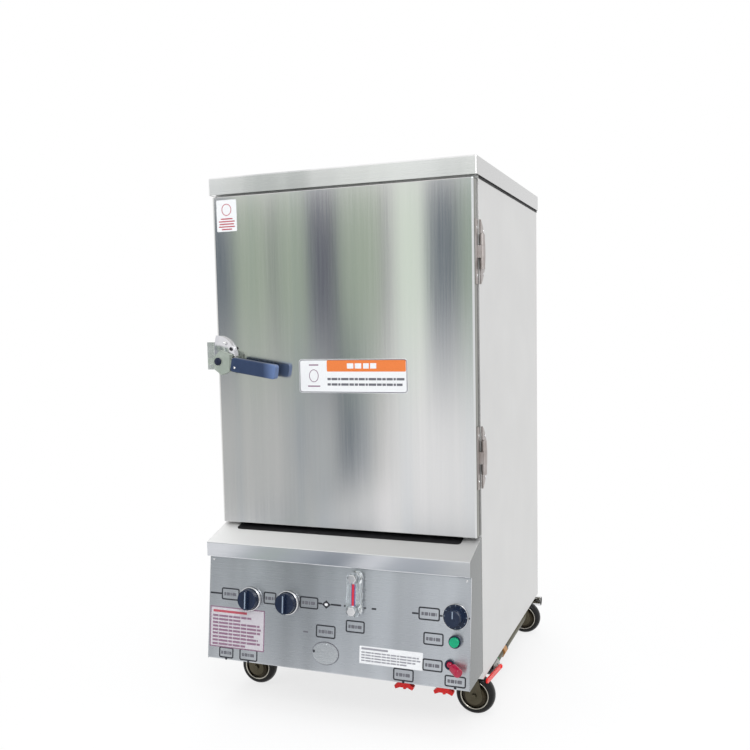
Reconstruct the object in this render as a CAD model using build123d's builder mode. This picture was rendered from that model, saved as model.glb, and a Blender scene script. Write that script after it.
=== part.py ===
"""Gas rice steamer: a latched steaming cabinet over a slanted gas console, on four castors.

Millimetres. +Z is up, +X is to the right and the front faces -Y. The origin is on the floor
under the middle of the whole outline. Heights are measured from the floor, depths from the
front plane of the cabinet body.
"""
import os
from math import atan2, cos, degrees, radians, sin

from build123d import *

os.makedirs("parts", exist_ok=True)

# Cabinet body
body_width = 700.0
body_depth = 720.0
body_bottom = 109.0
body_top = 1318.0
sheet = 1.2
liner_sheet = 1.0
plate_gap = 0.2
half_width = body_width / 2

# Lid
lid_height = 44.0
lid_side = 4.5
lid_overhang = 32.0
lid_back = 4.0
lid_edge_radius = 4.0

# Console, as offsets in front of the body and heights above the floor
console_top = 464.0
lip_reach = 110.0
lip_top = 430.0
lip_bottom = 392.0
panel_top_reach = 95.0
panel_top = 389.0
panel_bottom_reach = 126.0
panel_bottom = 128.0
console_half = half_width - 1.0
bend_radius = 3.0
slot_width = 20.0
slot_setback = 16.5
gutter_depth = 34.0

# Controls on the panel: x position and drop below the panel's top edge
burner_knob_xs = {"left": 122.0 - half_width, "right": 228.0 - half_width}
burner_knob_drop = 100.0
timer_x, timer_drop = half_width - 38.0, 93.0
button_x, button_drop = half_width - 36.0, 149.0
switch_x, switch_drop = half_width - 49.0, 205.0
gauge_x, gauge_drop = 60.0, 61.5
flap_x, flap_drop = -17.0, 215.0
knob_radius = 30.0
knob_height = 32.0
knob_gap = 1.0
spindle_radius = 4.0
running_fit = 0.05
loose_fit = 0.3

# Door
door_half = half_width - 4.0
door_bottom = 466.0
door_top = 1313.0
door_front = 30.0
door_back = 4.0
door_sheet = 1.2
door_edge_radius = 6.0
gasket_width = 14.0
mouth_half = half_width - 46.0
mouth_bottom = 512.0
mouth_top = 1272.0
lip_depth = 20.0
slot_length = 2 * mouth_half - 8.0

# Hinges, latch and keeper
hinge_heights = (657.0, 1143.0)
hinge_length = 150.0
hinge_leaf_width = 45.0
hinge_leaf = 4.0
pin_offset = 7.0
pin_radius = 3.5
knuckle_radius = 6.5
knuckle_half = 14.5
knuckle_end = 40.0
latch_x = 33.0 - half_width
latch_z = 893.0
latch_fan_radius = 54.0
latch_fan_lift = 12.0
hub_front = 76.0
hub_back = 62.0
grip_length = 127.0
grip_height = 36.0
grip_thickness = 20.0
grip_droop = 9.4
keeper_height = 71.0
keeper_reach = 22.0
keeper_front = 36.0

# Trays
tray_count = 8
tray_pitch = 92.0
tray_first = 572.0
tray_width = 2 * mouth_half - 46.0
tray_length = 372.0
tray_depth = 48.0
tray_rim = 18.0
tray_sheet = 1.0
tray_setback = 55.0
tray_back_gap = 20.0
chamber_depth = tray_setback + tray_length + tray_rim + tray_back_gap
runner_width = 16.0

# Boiler, burners and gas train
boiler_half = half_width - 65.0
boiler_front = 60.0
boiler_back = 560.0
boiler_bottom = 262.0
boiler_top = 412.0
boiler_sheet = 1.5
riser_size = (180.0, 90.0)
steam_setback = 300.0
firebox_half = boiler_half - 45.0
firebox_front = 80.0
firebox_back = 540.0
burner_xs = {"left": -115.0, "right": 115.0}
burner_y = 330.0
burner_z = 195.0
burner_radius = 75.0
pipe_radius = 10.5
manifold_setback = 62.0
manifold_z = 285.0
gas_x = half_width - 18.0
gas_z = 80.0
gas_valve_y = 165.0
gas_inlet_z = 165.0
gas_inlet_stand = 38.0
lever_length = 152.0
lever_rise = 7.0
duct_half = 110.0
duct_front = 600.0
flue_z = 1240.0
outlet_radius = 15.5
outlet_x = half_width - 120.0
outlet_end = half_width + 6.0
outlet_z = 78.0
outlet_stand = 25.0
vent_x, vent_z, vent_radius = -200.0, 1240.0, 11.0
vent_stand = 30.0
lock_nut_height = 6.0
lock_nut_radius = 17.0

# Drain valves under the console
drain_xs = {"left": half_width - 184.0, "right": half_width - 83.0}
drain_setback = 58.0
drain_z = 121.0

# Castors
caster_x = half_width - 44.0
caster_inset = 50.0
caster_rear_inset = 56.0
wheel_radius = 50.0
wheel_width = 32.0
wheel_trail = 12.0
axle_radius = 4.0
kingpin_radius = 6.0
fork_sheet = 2.5
fork_gap = 3.0
crown_radius = 30.0
crown_top = 118.0
crown_thickness = 8.0
caster_plate = 80.0
caster_plate_sheet = 3.5
base_sheet = 1.5
base_plate_z = 129.0

# The outline runs from the switch lever to the outlet pipe behind the cabinet
front_reach = panel_bottom_reach + 29.0
back_reach = outlet_stand + outlet_radius
front_y = (front_reach - body_depth - back_reach) / 2
back_y = front_y + body_depth
lid_top = body_top + lid_height

panel_tilt = atan2(panel_bottom_reach - panel_top_reach, panel_top - panel_bottom)
panel_plane = Plane(
    origin=(0, front_y - panel_top_reach, panel_top),
    x_dir=(1, 0, 0),
    z_dir=(0, -cos(panel_tilt), sin(panel_tilt)),
)


def front(distance):
    """Y of a point that lies this far behind the body's front plane."""
    return front_y + distance


def on_panel(x, drop, stand=0.0):
    """Plane on the control panel's outer face, facing out, raised by a stand-off."""
    return Plane(panel_plane.location * Location((x, -drop, stand)))


def save(piece, label):
    """Name the finished piece and write its file."""
    piece.part.label = label
    export_step(piece.part, f"parts/{label}.step")


# Side panels: one folded sheet each, with a narrow return at the front and the back
return_width = 20.0
for name, side in (("left_side_panel", -1), ("right_side_panel", 1)):
    with BuildPart() as side_panel:
        with BuildSketch(Plane.XY.offset(body_bottom)):
            with Locations((side * (half_width - sheet / 2), front(body_depth / 2))):
                Rectangle(sheet, body_depth)
            with Locations((side * (half_width - return_width / 2), front(sheet / 2))):
                Rectangle(return_width, sheet)
        extrude(amount=body_top - body_bottom)
        fillet(side_panel.edges().filter_by(Axis.Z).group_by(Axis.Y)[0].sort_by(Axis.X)[::side][-1], 1.0)
    save(side_panel, name)

# Rear panel with the flue outlet and the holes for the pipes that pass it
flue_width = 180.0
flue_height = 60.0
pipe_clearance = 0.8
overflow_z = 300.0
with BuildPart() as rear_panel:
    with BuildSketch(Plane.XZ.offset(-back_y)) as rear_sketch:
        with Locations((0, (body_bottom + body_top) / 2)):
            Rectangle(body_width - 2 * sheet - plate_gap, body_top - body_bottom)
        with Locations((0, flue_z)):
            RectangleRounded(flue_width, flue_height, 6, mode=Mode.SUBTRACT)
        with Locations((outlet_x, overflow_z)):
            Circle(outlet_radius + pipe_clearance, mode=Mode.SUBTRACT)
        with Locations((gas_x, gas_inlet_z)):
            Circle(pipe_radius + pipe_clearance, mode=Mode.SUBTRACT)
        with Locations((vent_x, vent_z)):
            Circle(vent_radius + pipe_clearance, mode=Mode.SUBTRACT)
    extrude(amount=sheet)
save(rear_panel, "rear_panel")

# Lid: a folded tray, open below, with a flange closing the overhang above the door
lid_depth = body_depth + lid_overhang + lid_back
with BuildPart() as top_cover:
    with BuildSketch(Plane.XY.offset(body_top)):
        with Locations((0, front((body_depth + lid_back - lid_overhang) / 2))):
            RectangleRounded(body_width + 2 * lid_side, lid_depth, lid_edge_radius)
    extrude(amount=lid_height)
    fillet(top_cover.faces().sort_by(Axis.Z)[-1].edges(), lid_edge_radius - plate_gap)
    offset(amount=-sheet, openings=top_cover.faces().sort_by(Axis.Z)[0])
    with BuildSketch(Plane.XY.offset(body_top)):
        with Locations((0, front(-lid_overhang / 2))):
            Rectangle(body_width + 2 * lid_side - 2 * lid_edge_radius, lid_overhang - sheet)
    extrude(amount=sheet)
save(top_cover, "top_cover")

# Door surround: the front frame with a lip folded back around the chamber mouth
surround_bottom = console_top - 24.0
mouth_radius = 3.0
mouth_centre_z = (mouth_bottom + mouth_top) / 2
mouth_size = (2 * mouth_half, mouth_top - mouth_bottom)
with BuildPart() as door_surround:
    with BuildSketch(Plane.XZ.offset(-front_y)):
        with Locations((0, (surround_bottom + body_top) / 2)):
            Rectangle(body_width - 2 * return_width - plate_gap, body_top - surround_bottom)
    extrude(amount=-sheet)
    with BuildSketch(Plane.XZ.offset(-front_y)):
        with Locations((0, mouth_centre_z)):
            RectangleRounded(mouth_size[0] + 2 * sheet, mouth_size[1] + 2 * sheet, mouth_radius + sheet)
    extrude(amount=-lip_depth)
    with BuildSketch(Plane.XZ.offset(-front_y)):
        with Locations((0, mouth_centre_z)):
            RectangleRounded(*mouth_size, mouth_radius)
    extrude(amount=-lip_depth, mode=Mode.SUBTRACT)
save(door_surround, "door_surround")

# Chamber liner: five walls around the lip, with the steam inlet and a vent tube
chamber_half = mouth_half + sheet
chamber_floor = mouth_bottom - sheet
chamber_ceiling = mouth_top + sheet
chamber_back = sheet + chamber_depth
chamber_mid_z = (chamber_floor + chamber_ceiling) / 2
chamber_size = (2 * chamber_half, chamber_ceiling - chamber_floor)
liner_size = (chamber_size[0] + 2 * liner_sheet, chamber_size[1] + 2 * liner_sheet)
steam_x, steam_y = 0.0, front(steam_setback)
steam_hole = (riser_size[0] + 2 * loose_fit, riser_size[1] + 2 * loose_fit)
with BuildPart() as chamber_liner:
    with BuildSketch(Plane.XZ.offset(-front(sheet))):
        with Locations((0, chamber_mid_z)):
            Rectangle(*liner_size)
    extrude(amount=-(chamber_depth + liner_sheet))
    with BuildSketch(Plane.XZ.offset(-front(chamber_back))):
        with Locations((vent_x, vent_z)):
            Circle(vent_radius)
    extrude(amount=-(body_depth - chamber_back + vent_stand))
    with BuildSketch(Plane.XZ.offset(-back_y - plate_gap)):
        with Locations((vent_x, vent_z)):
            RegularPolygon(lock_nut_radius, 6)
    extrude(amount=-lock_nut_height)
    with BuildSketch(Plane.XZ.offset(-front(sheet))):
        with Locations((0, chamber_mid_z)):
            Rectangle(*chamber_size)
    extrude(amount=-chamber_depth, mode=Mode.SUBTRACT)
    with BuildSketch(Plane.XZ.offset(-front(sheet))):
        with Locations((vent_x, vent_z)):
            Circle(vent_radius - sheet)
    extrude(amount=-(body_depth + vent_stand), mode=Mode.SUBTRACT)
    with BuildSketch(Plane.XY.offset(chamber_floor)):
        with Locations((steam_x, steam_y)):
            Rectangle(*steam_hole)
    extrude(amount=-liner_sheet, mode=Mode.SUBTRACT)
save(chamber_liner, "chamber_liner")

# Insulation jacket foamed between the liner and the cabinet
jacket_half = half_width - sheet - plate_gap
jacket_bottom = chamber_floor - 40.0
jacket_top = body_top - sheet
jacket_back = chamber_back + liner_sheet + 40.0
with BuildPart() as insulation:
    with BuildSketch(Plane.XZ.offset(-front(sheet + plate_gap))):
        with Locations((0, (jacket_bottom + jacket_top) / 2)):
            Rectangle(2 * jacket_half, jacket_top - jacket_bottom)
    extrude(amount=-(jacket_back - sheet - plate_gap))
    with BuildSketch(Plane.XZ.offset(-front(sheet))):
        with Locations((0, chamber_mid_z)):
            Rectangle(liner_size[0] + plate_gap, liner_size[1] + plate_gap)
    extrude(amount=-(chamber_depth + liner_sheet + plate_gap), mode=Mode.SUBTRACT)
    with BuildSketch(Plane.XZ.offset(-front(chamber_depth))):
        with Locations((vent_x, vent_z)):
            Circle(vent_radius + plate_gap)
    extrude(amount=-(jacket_back - chamber_depth), mode=Mode.SUBTRACT)
    with BuildSketch(Plane.XY.offset(chamber_floor)):
        with Locations((steam_x, steam_y)):
            Rectangle(*steam_hole)
    extrude(amount=-(chamber_floor - jacket_bottom), mode=Mode.SUBTRACT)
save(insulation, "insulation")

# Tray racks: a plate on each liner wall with one angle runner for every tray
rack_height = tray_pitch * (tray_count - 1) + 2 * tray_depth
rack_centre_z = tray_first + tray_pitch * (tray_count - 1) / 2
rack_length = tray_length + 2 * tray_rim
rack_y = front(tray_setback - tray_rim + rack_length / 2)
runner_lip = 8.0
with BuildPart() as tray_racks:
    for side in (-1, 1):
        with BuildSketch(Plane.XY.offset(rack_centre_z - rack_height / 2)):
            with Locations((side * (chamber_half - sheet / 2), rack_y)):
                Rectangle(sheet, rack_length)
        extrude(amount=rack_height)
        for level in range(tray_count):
            with BuildSketch(Plane.XY.offset(tray_first + level * tray_pitch)):
                with Locations((side * (chamber_half - sheet - runner_width / 2), rack_y)):
                    Rectangle(runner_width, rack_length)
            extrude(amount=-sheet)
            with BuildSketch(Plane.XY.offset(tray_first + level * tray_pitch)):
                with Locations((side * (chamber_half - sheet / 2 - runner_width), rack_y)):
                    Rectangle(sheet, rack_length)
            extrude(amount=-runner_lip)
save(tray_racks, "tray_racks")

# Trays: pressed pans whose rims lie on the runners
tray_corner = 14.0
tray_foot = 5.0
tray_y = front(tray_setback + tray_length / 2)
for number in range(tray_count):
    rim_z = tray_first + number * tray_pitch
    with BuildPart() as tray:
        with BuildSketch(Plane.XY.offset(rim_z + tray_sheet)):
            with Locations((0, tray_y)):
                RectangleRounded(tray_width, tray_length, tray_corner)
        extrude(amount=-tray_depth)
        fillet(tray.faces().sort_by(Axis.Z)[0].edges(), tray_foot)
        offset(amount=-tray_sheet, openings=tray.faces().sort_by(Axis.Z)[-1])
        with BuildSketch(Plane.XY.offset(rim_z)):
            with Locations((0, tray_y)):
                RectangleRounded(tray_width + 2 * tray_rim, tray_length + 2 * tray_rim, tray_corner)
                RectangleRounded(
                    tray_width - tray_sheet,
                    tray_length - tray_sheet,
                    tray_corner,
                    mode=Mode.SUBTRACT,
                )
        extrude(amount=tray_sheet)
    save(tray, f"tray_{number + 1}")

# Console hood: the sloping top with its square lip, a drip gutter and the two end cheeks
slope = (console_top - lip_top) / lip_reach
gutter_front = slot_setback + slot_width
gutter_floor = console_top - gutter_depth
gutter_sheet = 1.2
with BuildPart() as console_hood:
    with BuildSketch(Plane.YZ):
        with BuildLine():
            FilletPolyline(
                (front(0), surround_bottom),
                (front(0), console_top),
                (front(-lip_reach), lip_top),
                (front(-lip_reach), lip_bottom),
                (front(-panel_top_reach + 2 * sheet), lip_bottom),
                radius=bend_radius,
            )
            offset(amount=sheet, side=Side.LEFT)
        make_face()
    extrude(amount=console_half, both=True)
    with BuildSketch(Plane.YZ):
        with BuildLine():
            Polyline(
                (front(-gutter_front), console_top - slope * gutter_front - sheet / 2),
                (front(-gutter_front), gutter_floor),
                (front(-sheet), gutter_floor),
                (front(-sheet), gutter_floor + gutter_sheet),
                (front(-gutter_front + gutter_sheet), gutter_floor + gutter_sheet),
                (front(-gutter_front + gutter_sheet), console_top - slope * gutter_front - sheet / 2),
                close=True,
            )
        make_face()
    extrude(amount=slot_length / 2 + slot_width, both=True)
    for side in (-1, 1):
        with BuildSketch(Plane.YZ.offset(side * console_half)):
            with BuildLine():
                Polyline(
                    (front(0), console_top - sheet),
                    (front(-lip_reach + sheet), lip_top - sheet / 2),
                    (front(-lip_reach + sheet), lip_bottom + sheet / 2),
                    (front(-panel_top_reach), panel_top),
                    (front(-panel_bottom_reach), panel_bottom),
                    (front(0), panel_bottom),
                    close=True,
                )
            make_face()
        extrude(amount=-side * sheet)
    with BuildSketch(Plane.XY.offset(console_top)):
        with Locations((0, front(-slot_setback))):
            SlotOverall(slot_length, slot_width)
    extrude(amount=-(console_top - gutter_floor - gutter_sheet), mode=Mode.SUBTRACT)
save(console_hood, "console_hood")

# Control panel: one slanted sheet, folded in at the top and the bottom, with its holes
panel_half = console_half - sheet - plate_gap
panel_fold = 15.0
knob_hole = spindle_radius + 2.0
button_hole = 11.2
switch_hole = 11.2
timer_hole = 8.4
gauge_bolt_spacing = 78.0
gauge_bolt_radius = 5.0
flap_hole = 19.0
with BuildPart() as control_panel:
    with BuildSketch(Plane.YZ):
        with BuildLine():
            FilletPolyline(
                (front(-panel_top_reach + panel_fold), panel_top),
                (front(-panel_top_reach), panel_top),
                (front(-panel_bottom_reach), panel_bottom),
                (front(-panel_bottom_reach + panel_fold), panel_bottom),
                radius=bend_radius,
            )
            offset(amount=sheet, side=Side.LEFT)
        make_face()
    extrude(amount=panel_half, both=True)
    with BuildSketch(panel_plane):
        with Locations(*[(x, -burner_knob_drop) for x in burner_knob_xs.values()]):
            Circle(knob_hole)
        with Locations((timer_x, -timer_drop)):
            Circle(timer_hole)
        with Locations((button_x, -button_drop)):
            Circle(button_hole)
        with Locations((switch_x, -switch_drop)):
            Circle(switch_hole)
        with Locations((flap_x, -flap_drop)):
            Circle(flap_hole)
        with Locations((gauge_x, -gauge_drop)):
            with GridLocations(1, gauge_bolt_spacing, 1, 2):
                Circle(gauge_bolt_radius + loose_fit)
    extrude(amount=-2 * sheet, mode=Mode.SUBTRACT)
save(control_panel, "control_panel")

# Base frame: floor plate with a turned-down rim and air slots under the burners
base_half = half_width - sheet - plate_gap
base_depth = body_depth - 2 * sheet - 2 * plate_gap
air_slot = (90.0, 12.0)
with BuildPart() as base_frame:
    with BuildSketch(Plane.XY.offset(body_bottom)):
        with Locations((0, front(body_depth / 2))):
            Rectangle(2 * base_half, base_depth)
    extrude(amount=base_plate_z + base_sheet - body_bottom)
    with BuildSketch(Plane.XY.offset(body_bottom)):
        with Locations((0, front(body_depth / 2))):
            Rectangle(2 * (base_half - base_sheet), base_depth - 2 * base_sheet)
    extrude(amount=base_plate_z - body_bottom, mode=Mode.SUBTRACT)
    with BuildSketch(Plane.XY.offset(base_plate_z)):
        with Locations((0, front(firebox_front + (firebox_back - firebox_front) / 2))):
            with GridLocations(110, 30, 4, 12):
                SlotOverall(*air_slot)
        for pipe_y in (gas_valve_y - 39.0, body_depth - 145.0):
            with Locations((gas_x, front(pipe_y))):
                Circle(pipe_radius + pipe_clearance)
    extrude(amount=base_sheet, mode=Mode.SUBTRACT)
save(base_frame, "base_frame")

# Firebox: open-topped sheet box around the burners, with an air mouth and a flue mouth
firebox_floor = base_plate_z + base_sheet
firebox_sheet = 1.5
throat = (200.0, 80.0)
throat_z = 205.0
with BuildPart() as firebox:
    with BuildSketch(Plane.XY.offset(firebox_floor)):
        with Locations((0, front((firebox_front + firebox_back) / 2))):
            Rectangle(2 * firebox_half, firebox_back - firebox_front)
            Rectangle(
                2 * (firebox_half - firebox_sheet),
                firebox_back - firebox_front - 2 * firebox_sheet,
                mode=Mode.SUBTRACT,
            )
    extrude(amount=boiler_bottom - firebox_floor)
    with BuildSketch(Plane.XZ.offset(-front(firebox_front))):
        with Locations((0, throat_z - 20.0)):
            Rectangle(1.5 * throat[0], throat[1])
    extrude(amount=-firebox_sheet, mode=Mode.SUBTRACT)
    with BuildSketch(Plane.XZ.offset(-front(firebox_back))):
        with Locations((0, throat_z)):
            Rectangle(*throat)
    extrude(amount=firebox_sheet, mode=Mode.SUBTRACT)
save(firebox, "firebox")

# Boiler tank: closed vessel with a steam riser into the chamber
boiler_mid_z = (boiler_bottom + boiler_top) / 2
with BuildPart() as boiler_tank:
    with Locations((0, front((boiler_front + boiler_back) / 2), boiler_mid_z)):
        Box(2 * boiler_half, boiler_back - boiler_front, boiler_top - boiler_bottom)
    fillet(boiler_tank.edges().filter_by(Axis.Z), 20)
    with BuildSketch(Plane.XY.offset(boiler_top)):
        with Locations((steam_x, steam_y)):
            Rectangle(*riser_size)
    extrude(amount=chamber_floor - boiler_top)
    with Locations((0, front((boiler_front + boiler_back) / 2), boiler_mid_z)):
        Box(
            2 * (boiler_half - boiler_sheet),
            boiler_back - boiler_front - 2 * boiler_sheet,
            boiler_top - boiler_bottom - 2 * boiler_sheet,
            mode=Mode.SUBTRACT,
        )
    with BuildSketch(Plane.XY.offset(boiler_mid_z)):
        with Locations((steam_x, steam_y)):
            Rectangle(riser_size[0] - 2 * boiler_sheet, riser_size[1] - 2 * boiler_sheet)
    extrude(amount=chamber_floor - boiler_mid_z, mode=Mode.SUBTRACT)
save(boiler_tank, "boiler_tank")

# Burners: cast rings with a mixing tube towards the console and a foot on the base plate
burner_height = 30.0
mixing_radius = 14.0
mixing_front = -12.0
inlet_flare = 22.0
foot_radius = 14.0
with BuildPart() as burners:
    for burner_x in burner_xs.values():
        with BuildSketch(Plane.XY.offset(burner_z)):
            with Locations((burner_x, front(burner_y))):
                Circle(burner_radius)
                Circle(burner_radius / 3, mode=Mode.SUBTRACT)
        extrude(amount=burner_height / 2, both=True)
        with BuildSketch(Plane.XZ.offset(-front(mixing_front))):
            with Locations((burner_x, burner_z)):
                Circle(mixing_radius)
        extrude(amount=-(burner_y - burner_radius / 2 - mixing_front))
        with BuildSketch(Plane.XZ.offset(-front(mixing_front))):
            with Locations((burner_x, burner_z)):
                Circle(inlet_flare)
        extrude(amount=-2 * inlet_flare, taper=10)
        with BuildSketch(Plane.XZ.offset(-front(mixing_front))):
            with Locations((burner_x, burner_z)):
                Circle(mixing_radius - 3)
        extrude(amount=-(burner_y - burner_radius - mixing_front), mode=Mode.SUBTRACT)
        with BuildSketch(Plane.XY.offset(firebox_floor)):
            with Locations((burner_x, front(burner_y - burner_radius / 2 - foot_radius))):
                Circle(foot_radius)
        extrude(amount=burner_z - burner_height / 2 - firebox_floor + 2)
save(burners, "burners")

# Gas manifold: pipe with two cocks behind the burner knobs and a feed tube to each burner
cock_radius = 14.0
cock_length = 52.0
cock_start = 12.0
feed_radius = 4.0
feed_z = {"left": burner_z, "right": burner_z + 34.0}
run_z = 240.0
run_y = front(30.0)
riser_y = front(gas_valve_y - 39.0)
riser_top = 220.0
manifold_y = front(-manifold_setback)
manifold_end_x = burner_knob_xs["left"] - 1.9 * cock_radius
manifold_drop_x = flap_x - 43.0
manifold_hump = 25.0
feed_y = manifold_y + 12.0
with BuildPart() as gas_manifold:
    with BuildLine() as manifold_path:
        FilletPolyline(
            (manifold_end_x, manifold_y, manifold_z),
            (manifold_drop_x, manifold_y, manifold_z),
            (manifold_drop_x, manifold_y, run_z),
            (manifold_drop_x, run_y, run_z),
            (gas_x, run_y, run_z),
            (gas_x, riser_y, run_z + manifold_hump),
            (gas_x, riser_y, riser_top),
            radius=18,
        )
    with BuildSketch(Plane(manifold_path.line @ 0, z_dir=manifold_path.line % 0)):
        Circle(pipe_radius)
    sweep()
    for knob_side, knob_x in burner_knob_xs.items():
        with BuildSketch(on_panel(knob_x, burner_knob_drop, -cock_start)):
            Circle(cock_radius)
        extrude(amount=-cock_length)
        cock_y = (on_panel(knob_x, burner_knob_drop, -cock_start - cock_length)).origin.Y - 8.0
        with BuildLine() as feed_path:
            FilletPolyline(
                (knob_x, cock_y, manifold_z),
                (knob_x, cock_y, feed_z[knob_side]),
                (burner_xs[knob_side], cock_y, feed_z[knob_side]),
                (burner_xs[knob_side], front(mixing_front) - 3.0, feed_z["left"]),
                radius=12,
            )
        with BuildSketch(Plane(feed_path.line @ 0, z_dir=feed_path.line % 0)):
            Circle(feed_radius)
        sweep()
    for knob_x in burner_knob_xs.values():
        with BuildSketch(on_panel(knob_x, burner_knob_drop, -cock_start)):
            Circle(spindle_radius + running_fit)
        extrude(amount=-cock_length / 2, mode=Mode.SUBTRACT)
save(gas_manifold, "gas_manifold")

# Feed tank: closed box behind the level gauge, fixed to the boiler's front wall
tank_front = -75.0
tank_bottom = 268.0
tank_top = 388.0
tank_width = 150.0
tank_sheet = 1.5
with BuildPart() as feed_tank:
    with Locations((gauge_x + 50.0, front((tank_front + boiler_front) / 2), (tank_bottom + tank_top) / 2)):
        Box(tank_width, boiler_front - tank_front, tank_top - tank_bottom)
        Box(
            tank_width - 2 * tank_sheet,
            boiler_front - tank_front - 2 * tank_sheet,
            tank_top - tank_bottom - 2 * tank_sheet,
            mode=Mode.SUBTRACT,
        )
save(feed_tank, "feed_tank")

# Igniter module standing on the base plate
igniter_size = (70.0, 90.0, 60.0)
igniter_x, igniter_y = 60.0 - half_width, front(60.0)
with BuildPart() as igniter_module:
    with Locations((igniter_x, igniter_y, firebox_floor + igniter_size[2] / 2)):
        Box(*igniter_size)
    fillet(igniter_module.edges().filter_by(Axis.Z), 4)
save(igniter_module, "igniter_module")

# Flue duct: from the firebox throat up the rear panel to the outlet
duct_bottom = 135.0
duct_top = flue_z + 50.0
duct_sheet = 1.0
duct_back = body_depth - sheet
with BuildPart() as flue_duct:
    with BuildSketch(Plane.XY.offset(duct_bottom)):
        with Locations((0, front((duct_front + duct_back) / 2))):
            Rectangle(2 * duct_half, duct_back - duct_front)
    extrude(amount=duct_top - duct_bottom)
    with BuildSketch(Plane.XZ.offset(-front(firebox_back))):
        with Locations((0, throat_z)):
            Rectangle(throat[0] + 2 * duct_sheet, throat[1] + 2 * duct_sheet)
    extrude(amount=-(duct_front - firebox_back))
    with BuildSketch(Plane.XY.offset(duct_bottom + duct_sheet)):
        with Locations((0, front((duct_front + duct_back) / 2))):
            Rectangle(2 * (duct_half - duct_sheet), duct_back - duct_front - 2 * duct_sheet)
    extrude(amount=duct_top - duct_bottom - 2 * duct_sheet, mode=Mode.SUBTRACT)
    with BuildSketch(Plane.XZ.offset(-front(firebox_back))):
        with Locations((0, throat_z)):
            Rectangle(*throat)
    extrude(amount=-(duct_front - firebox_back + duct_sheet), mode=Mode.SUBTRACT)
    with BuildSketch(Plane.XZ.offset(-front(duct_back))):
        with Locations((0, flue_z)):
            Rectangle(flue_width, flue_height)
    extrude(amount=duct_sheet, mode=Mode.SUBTRACT)
save(flue_duct, "flue_duct")

# Level gauge: clear block with a water channel
gauge_size = (36.0, 108.0, 22.0)
channel = (10.0, 56.0)
with BuildPart() as gauge_glass:
    with BuildSketch(on_panel(gauge_x, gauge_drop, plate_gap)):
        RectangleRounded(gauge_size[0], gauge_size[1], 15)
    extrude(amount=gauge_size[2])
    fillet(gauge_glass.faces().sort_by(Axis.Y)[0].edges(), 3)
    with BuildSketch(on_panel(gauge_x, gauge_drop, plate_gap)):
        RectangleRounded(*channel, 3)
    extrude(amount=gauge_size[2] / 2, mode=Mode.SUBTRACT)
    with BuildSketch(on_panel(gauge_x, gauge_drop, plate_gap)):
        with GridLocations(1, gauge_bolt_spacing, 1, 2):
            Circle(gauge_bolt_radius + loose_fit)
    extrude(amount=gauge_size[2], mode=Mode.SUBTRACT)
save(gauge_glass, "gauge_glass")

# Hollow gauge bolts: hexagon heads whose shanks reach the feed tank
hex_width = 11.5
hex_height = 9.0
with BuildPart() as gauge_bolts:
    for bolt_drop in (gauge_drop - gauge_bolt_spacing / 2, gauge_drop + gauge_bolt_spacing / 2):
        head_plane = on_panel(gauge_x, bolt_drop, 2 * plate_gap + gauge_size[2])
        shank = (front(tank_front) - head_plane.origin.Y) / cos(panel_tilt) - 2.5
        with BuildSketch(head_plane):
            RegularPolygon(hex_width, 6)
        extrude(amount=hex_height)
        chamfer(gauge_bolts.faces(Select.LAST).sort_by(Axis.Y)[0].edges(), 1.2)
        with BuildSketch(head_plane):
            Circle(gauge_bolt_radius)
        extrude(amount=-shank)
save(gauge_bolts, "gauge_bolts")

# Drain lines: pipes from the feed tank and the boiler, each with a ball valve body
valve_radius = 16.0
drain_valve_radius = 13.0
valve_length = 44.0
drain_drop_y = front(-15.0)
drain_start = {"left": (drain_drop_y, tank_bottom), "right": (front(boiler_front), 285.0)}
stem_radius = 4.0
with BuildPart() as drain_pipes:
    for drain_side, drain_x in drain_xs.items():
        start_y, start_z = drain_start[drain_side]
        route = [(drain_x, start_y, start_z)]
        if start_y != drain_drop_y:
            route.append((drain_x, drain_drop_y, start_z))
        route.append((drain_x, drain_drop_y, drain_z))
        route.append((drain_x, front(-drain_setback), drain_z))
        with BuildLine() as drain_path:
            FilletPolyline(*route, radius=16)
        with BuildSketch(Plane(drain_path.line @ 0, z_dir=drain_path.line % 0)):
            Circle(pipe_radius)
        sweep()
        with BuildSketch(Plane.XZ.offset(-front(-drain_setback))):
            with Locations((drain_x, drain_z)):
                RegularPolygon(drain_valve_radius, 8)
        extrude(amount=valve_length / 2, both=True)
        with BuildSketch(Plane.XY.offset(drain_z - drain_valve_radius)):
            with Locations((drain_x, front(-drain_setback))):
                Circle(stem_radius + running_fit)
        extrude(amount=drain_valve_radius, mode=Mode.SUBTRACT)
save(drain_pipes, "drain_pipes")

# Butterfly handles of the drain valves, each on a stem that turns in the valve body
handle_span = 50.0
handle_depth = 14.0
handle_top = drain_z - drain_valve_radius - 1.0
for drain_side, drain_x in drain_xs.items():
    with BuildPart() as drain_handle:
        with BuildSketch(Plane.XZ.offset(-front(-drain_setback))):
            with BuildLine():
                Spline(
                    (drain_x - handle_span / 2, handle_top - 14.0),
                    (drain_x - 12.0, handle_top - 4.0),
                    (drain_x, handle_top),
                    (drain_x + 12.0, handle_top - 4.0),
                    (drain_x + handle_span / 2, handle_top - 14.0),
                )
                Polyline(
                    (drain_x + handle_span / 2, handle_top - 14.0),
                    (drain_x + handle_span / 2 - 3.0, handle_top - 22.0),
                    (drain_x + 10.0, handle_top - 17.0),
                    (drain_x - 10.0, handle_top - 17.0),
                    (drain_x - handle_span / 2 + 3.0, handle_top - 22.0),
                    (drain_x - handle_span / 2, handle_top - 14.0),
                )
            make_face()
        extrude(amount=handle_depth / 2, both=True)
        fillet(drain_handle.edges().filter_by(Axis.Y), 1.2)
        with BuildSketch(Plane.XY.offset(handle_top - 22.0)):
            with Locations((drain_x, front(-drain_setback))):
                Circle(stem_radius)
        extrude(amount=22.0 + drain_valve_radius - 2.0)
    save(drain_handle, f"{drain_side}_drain_handle")

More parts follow.
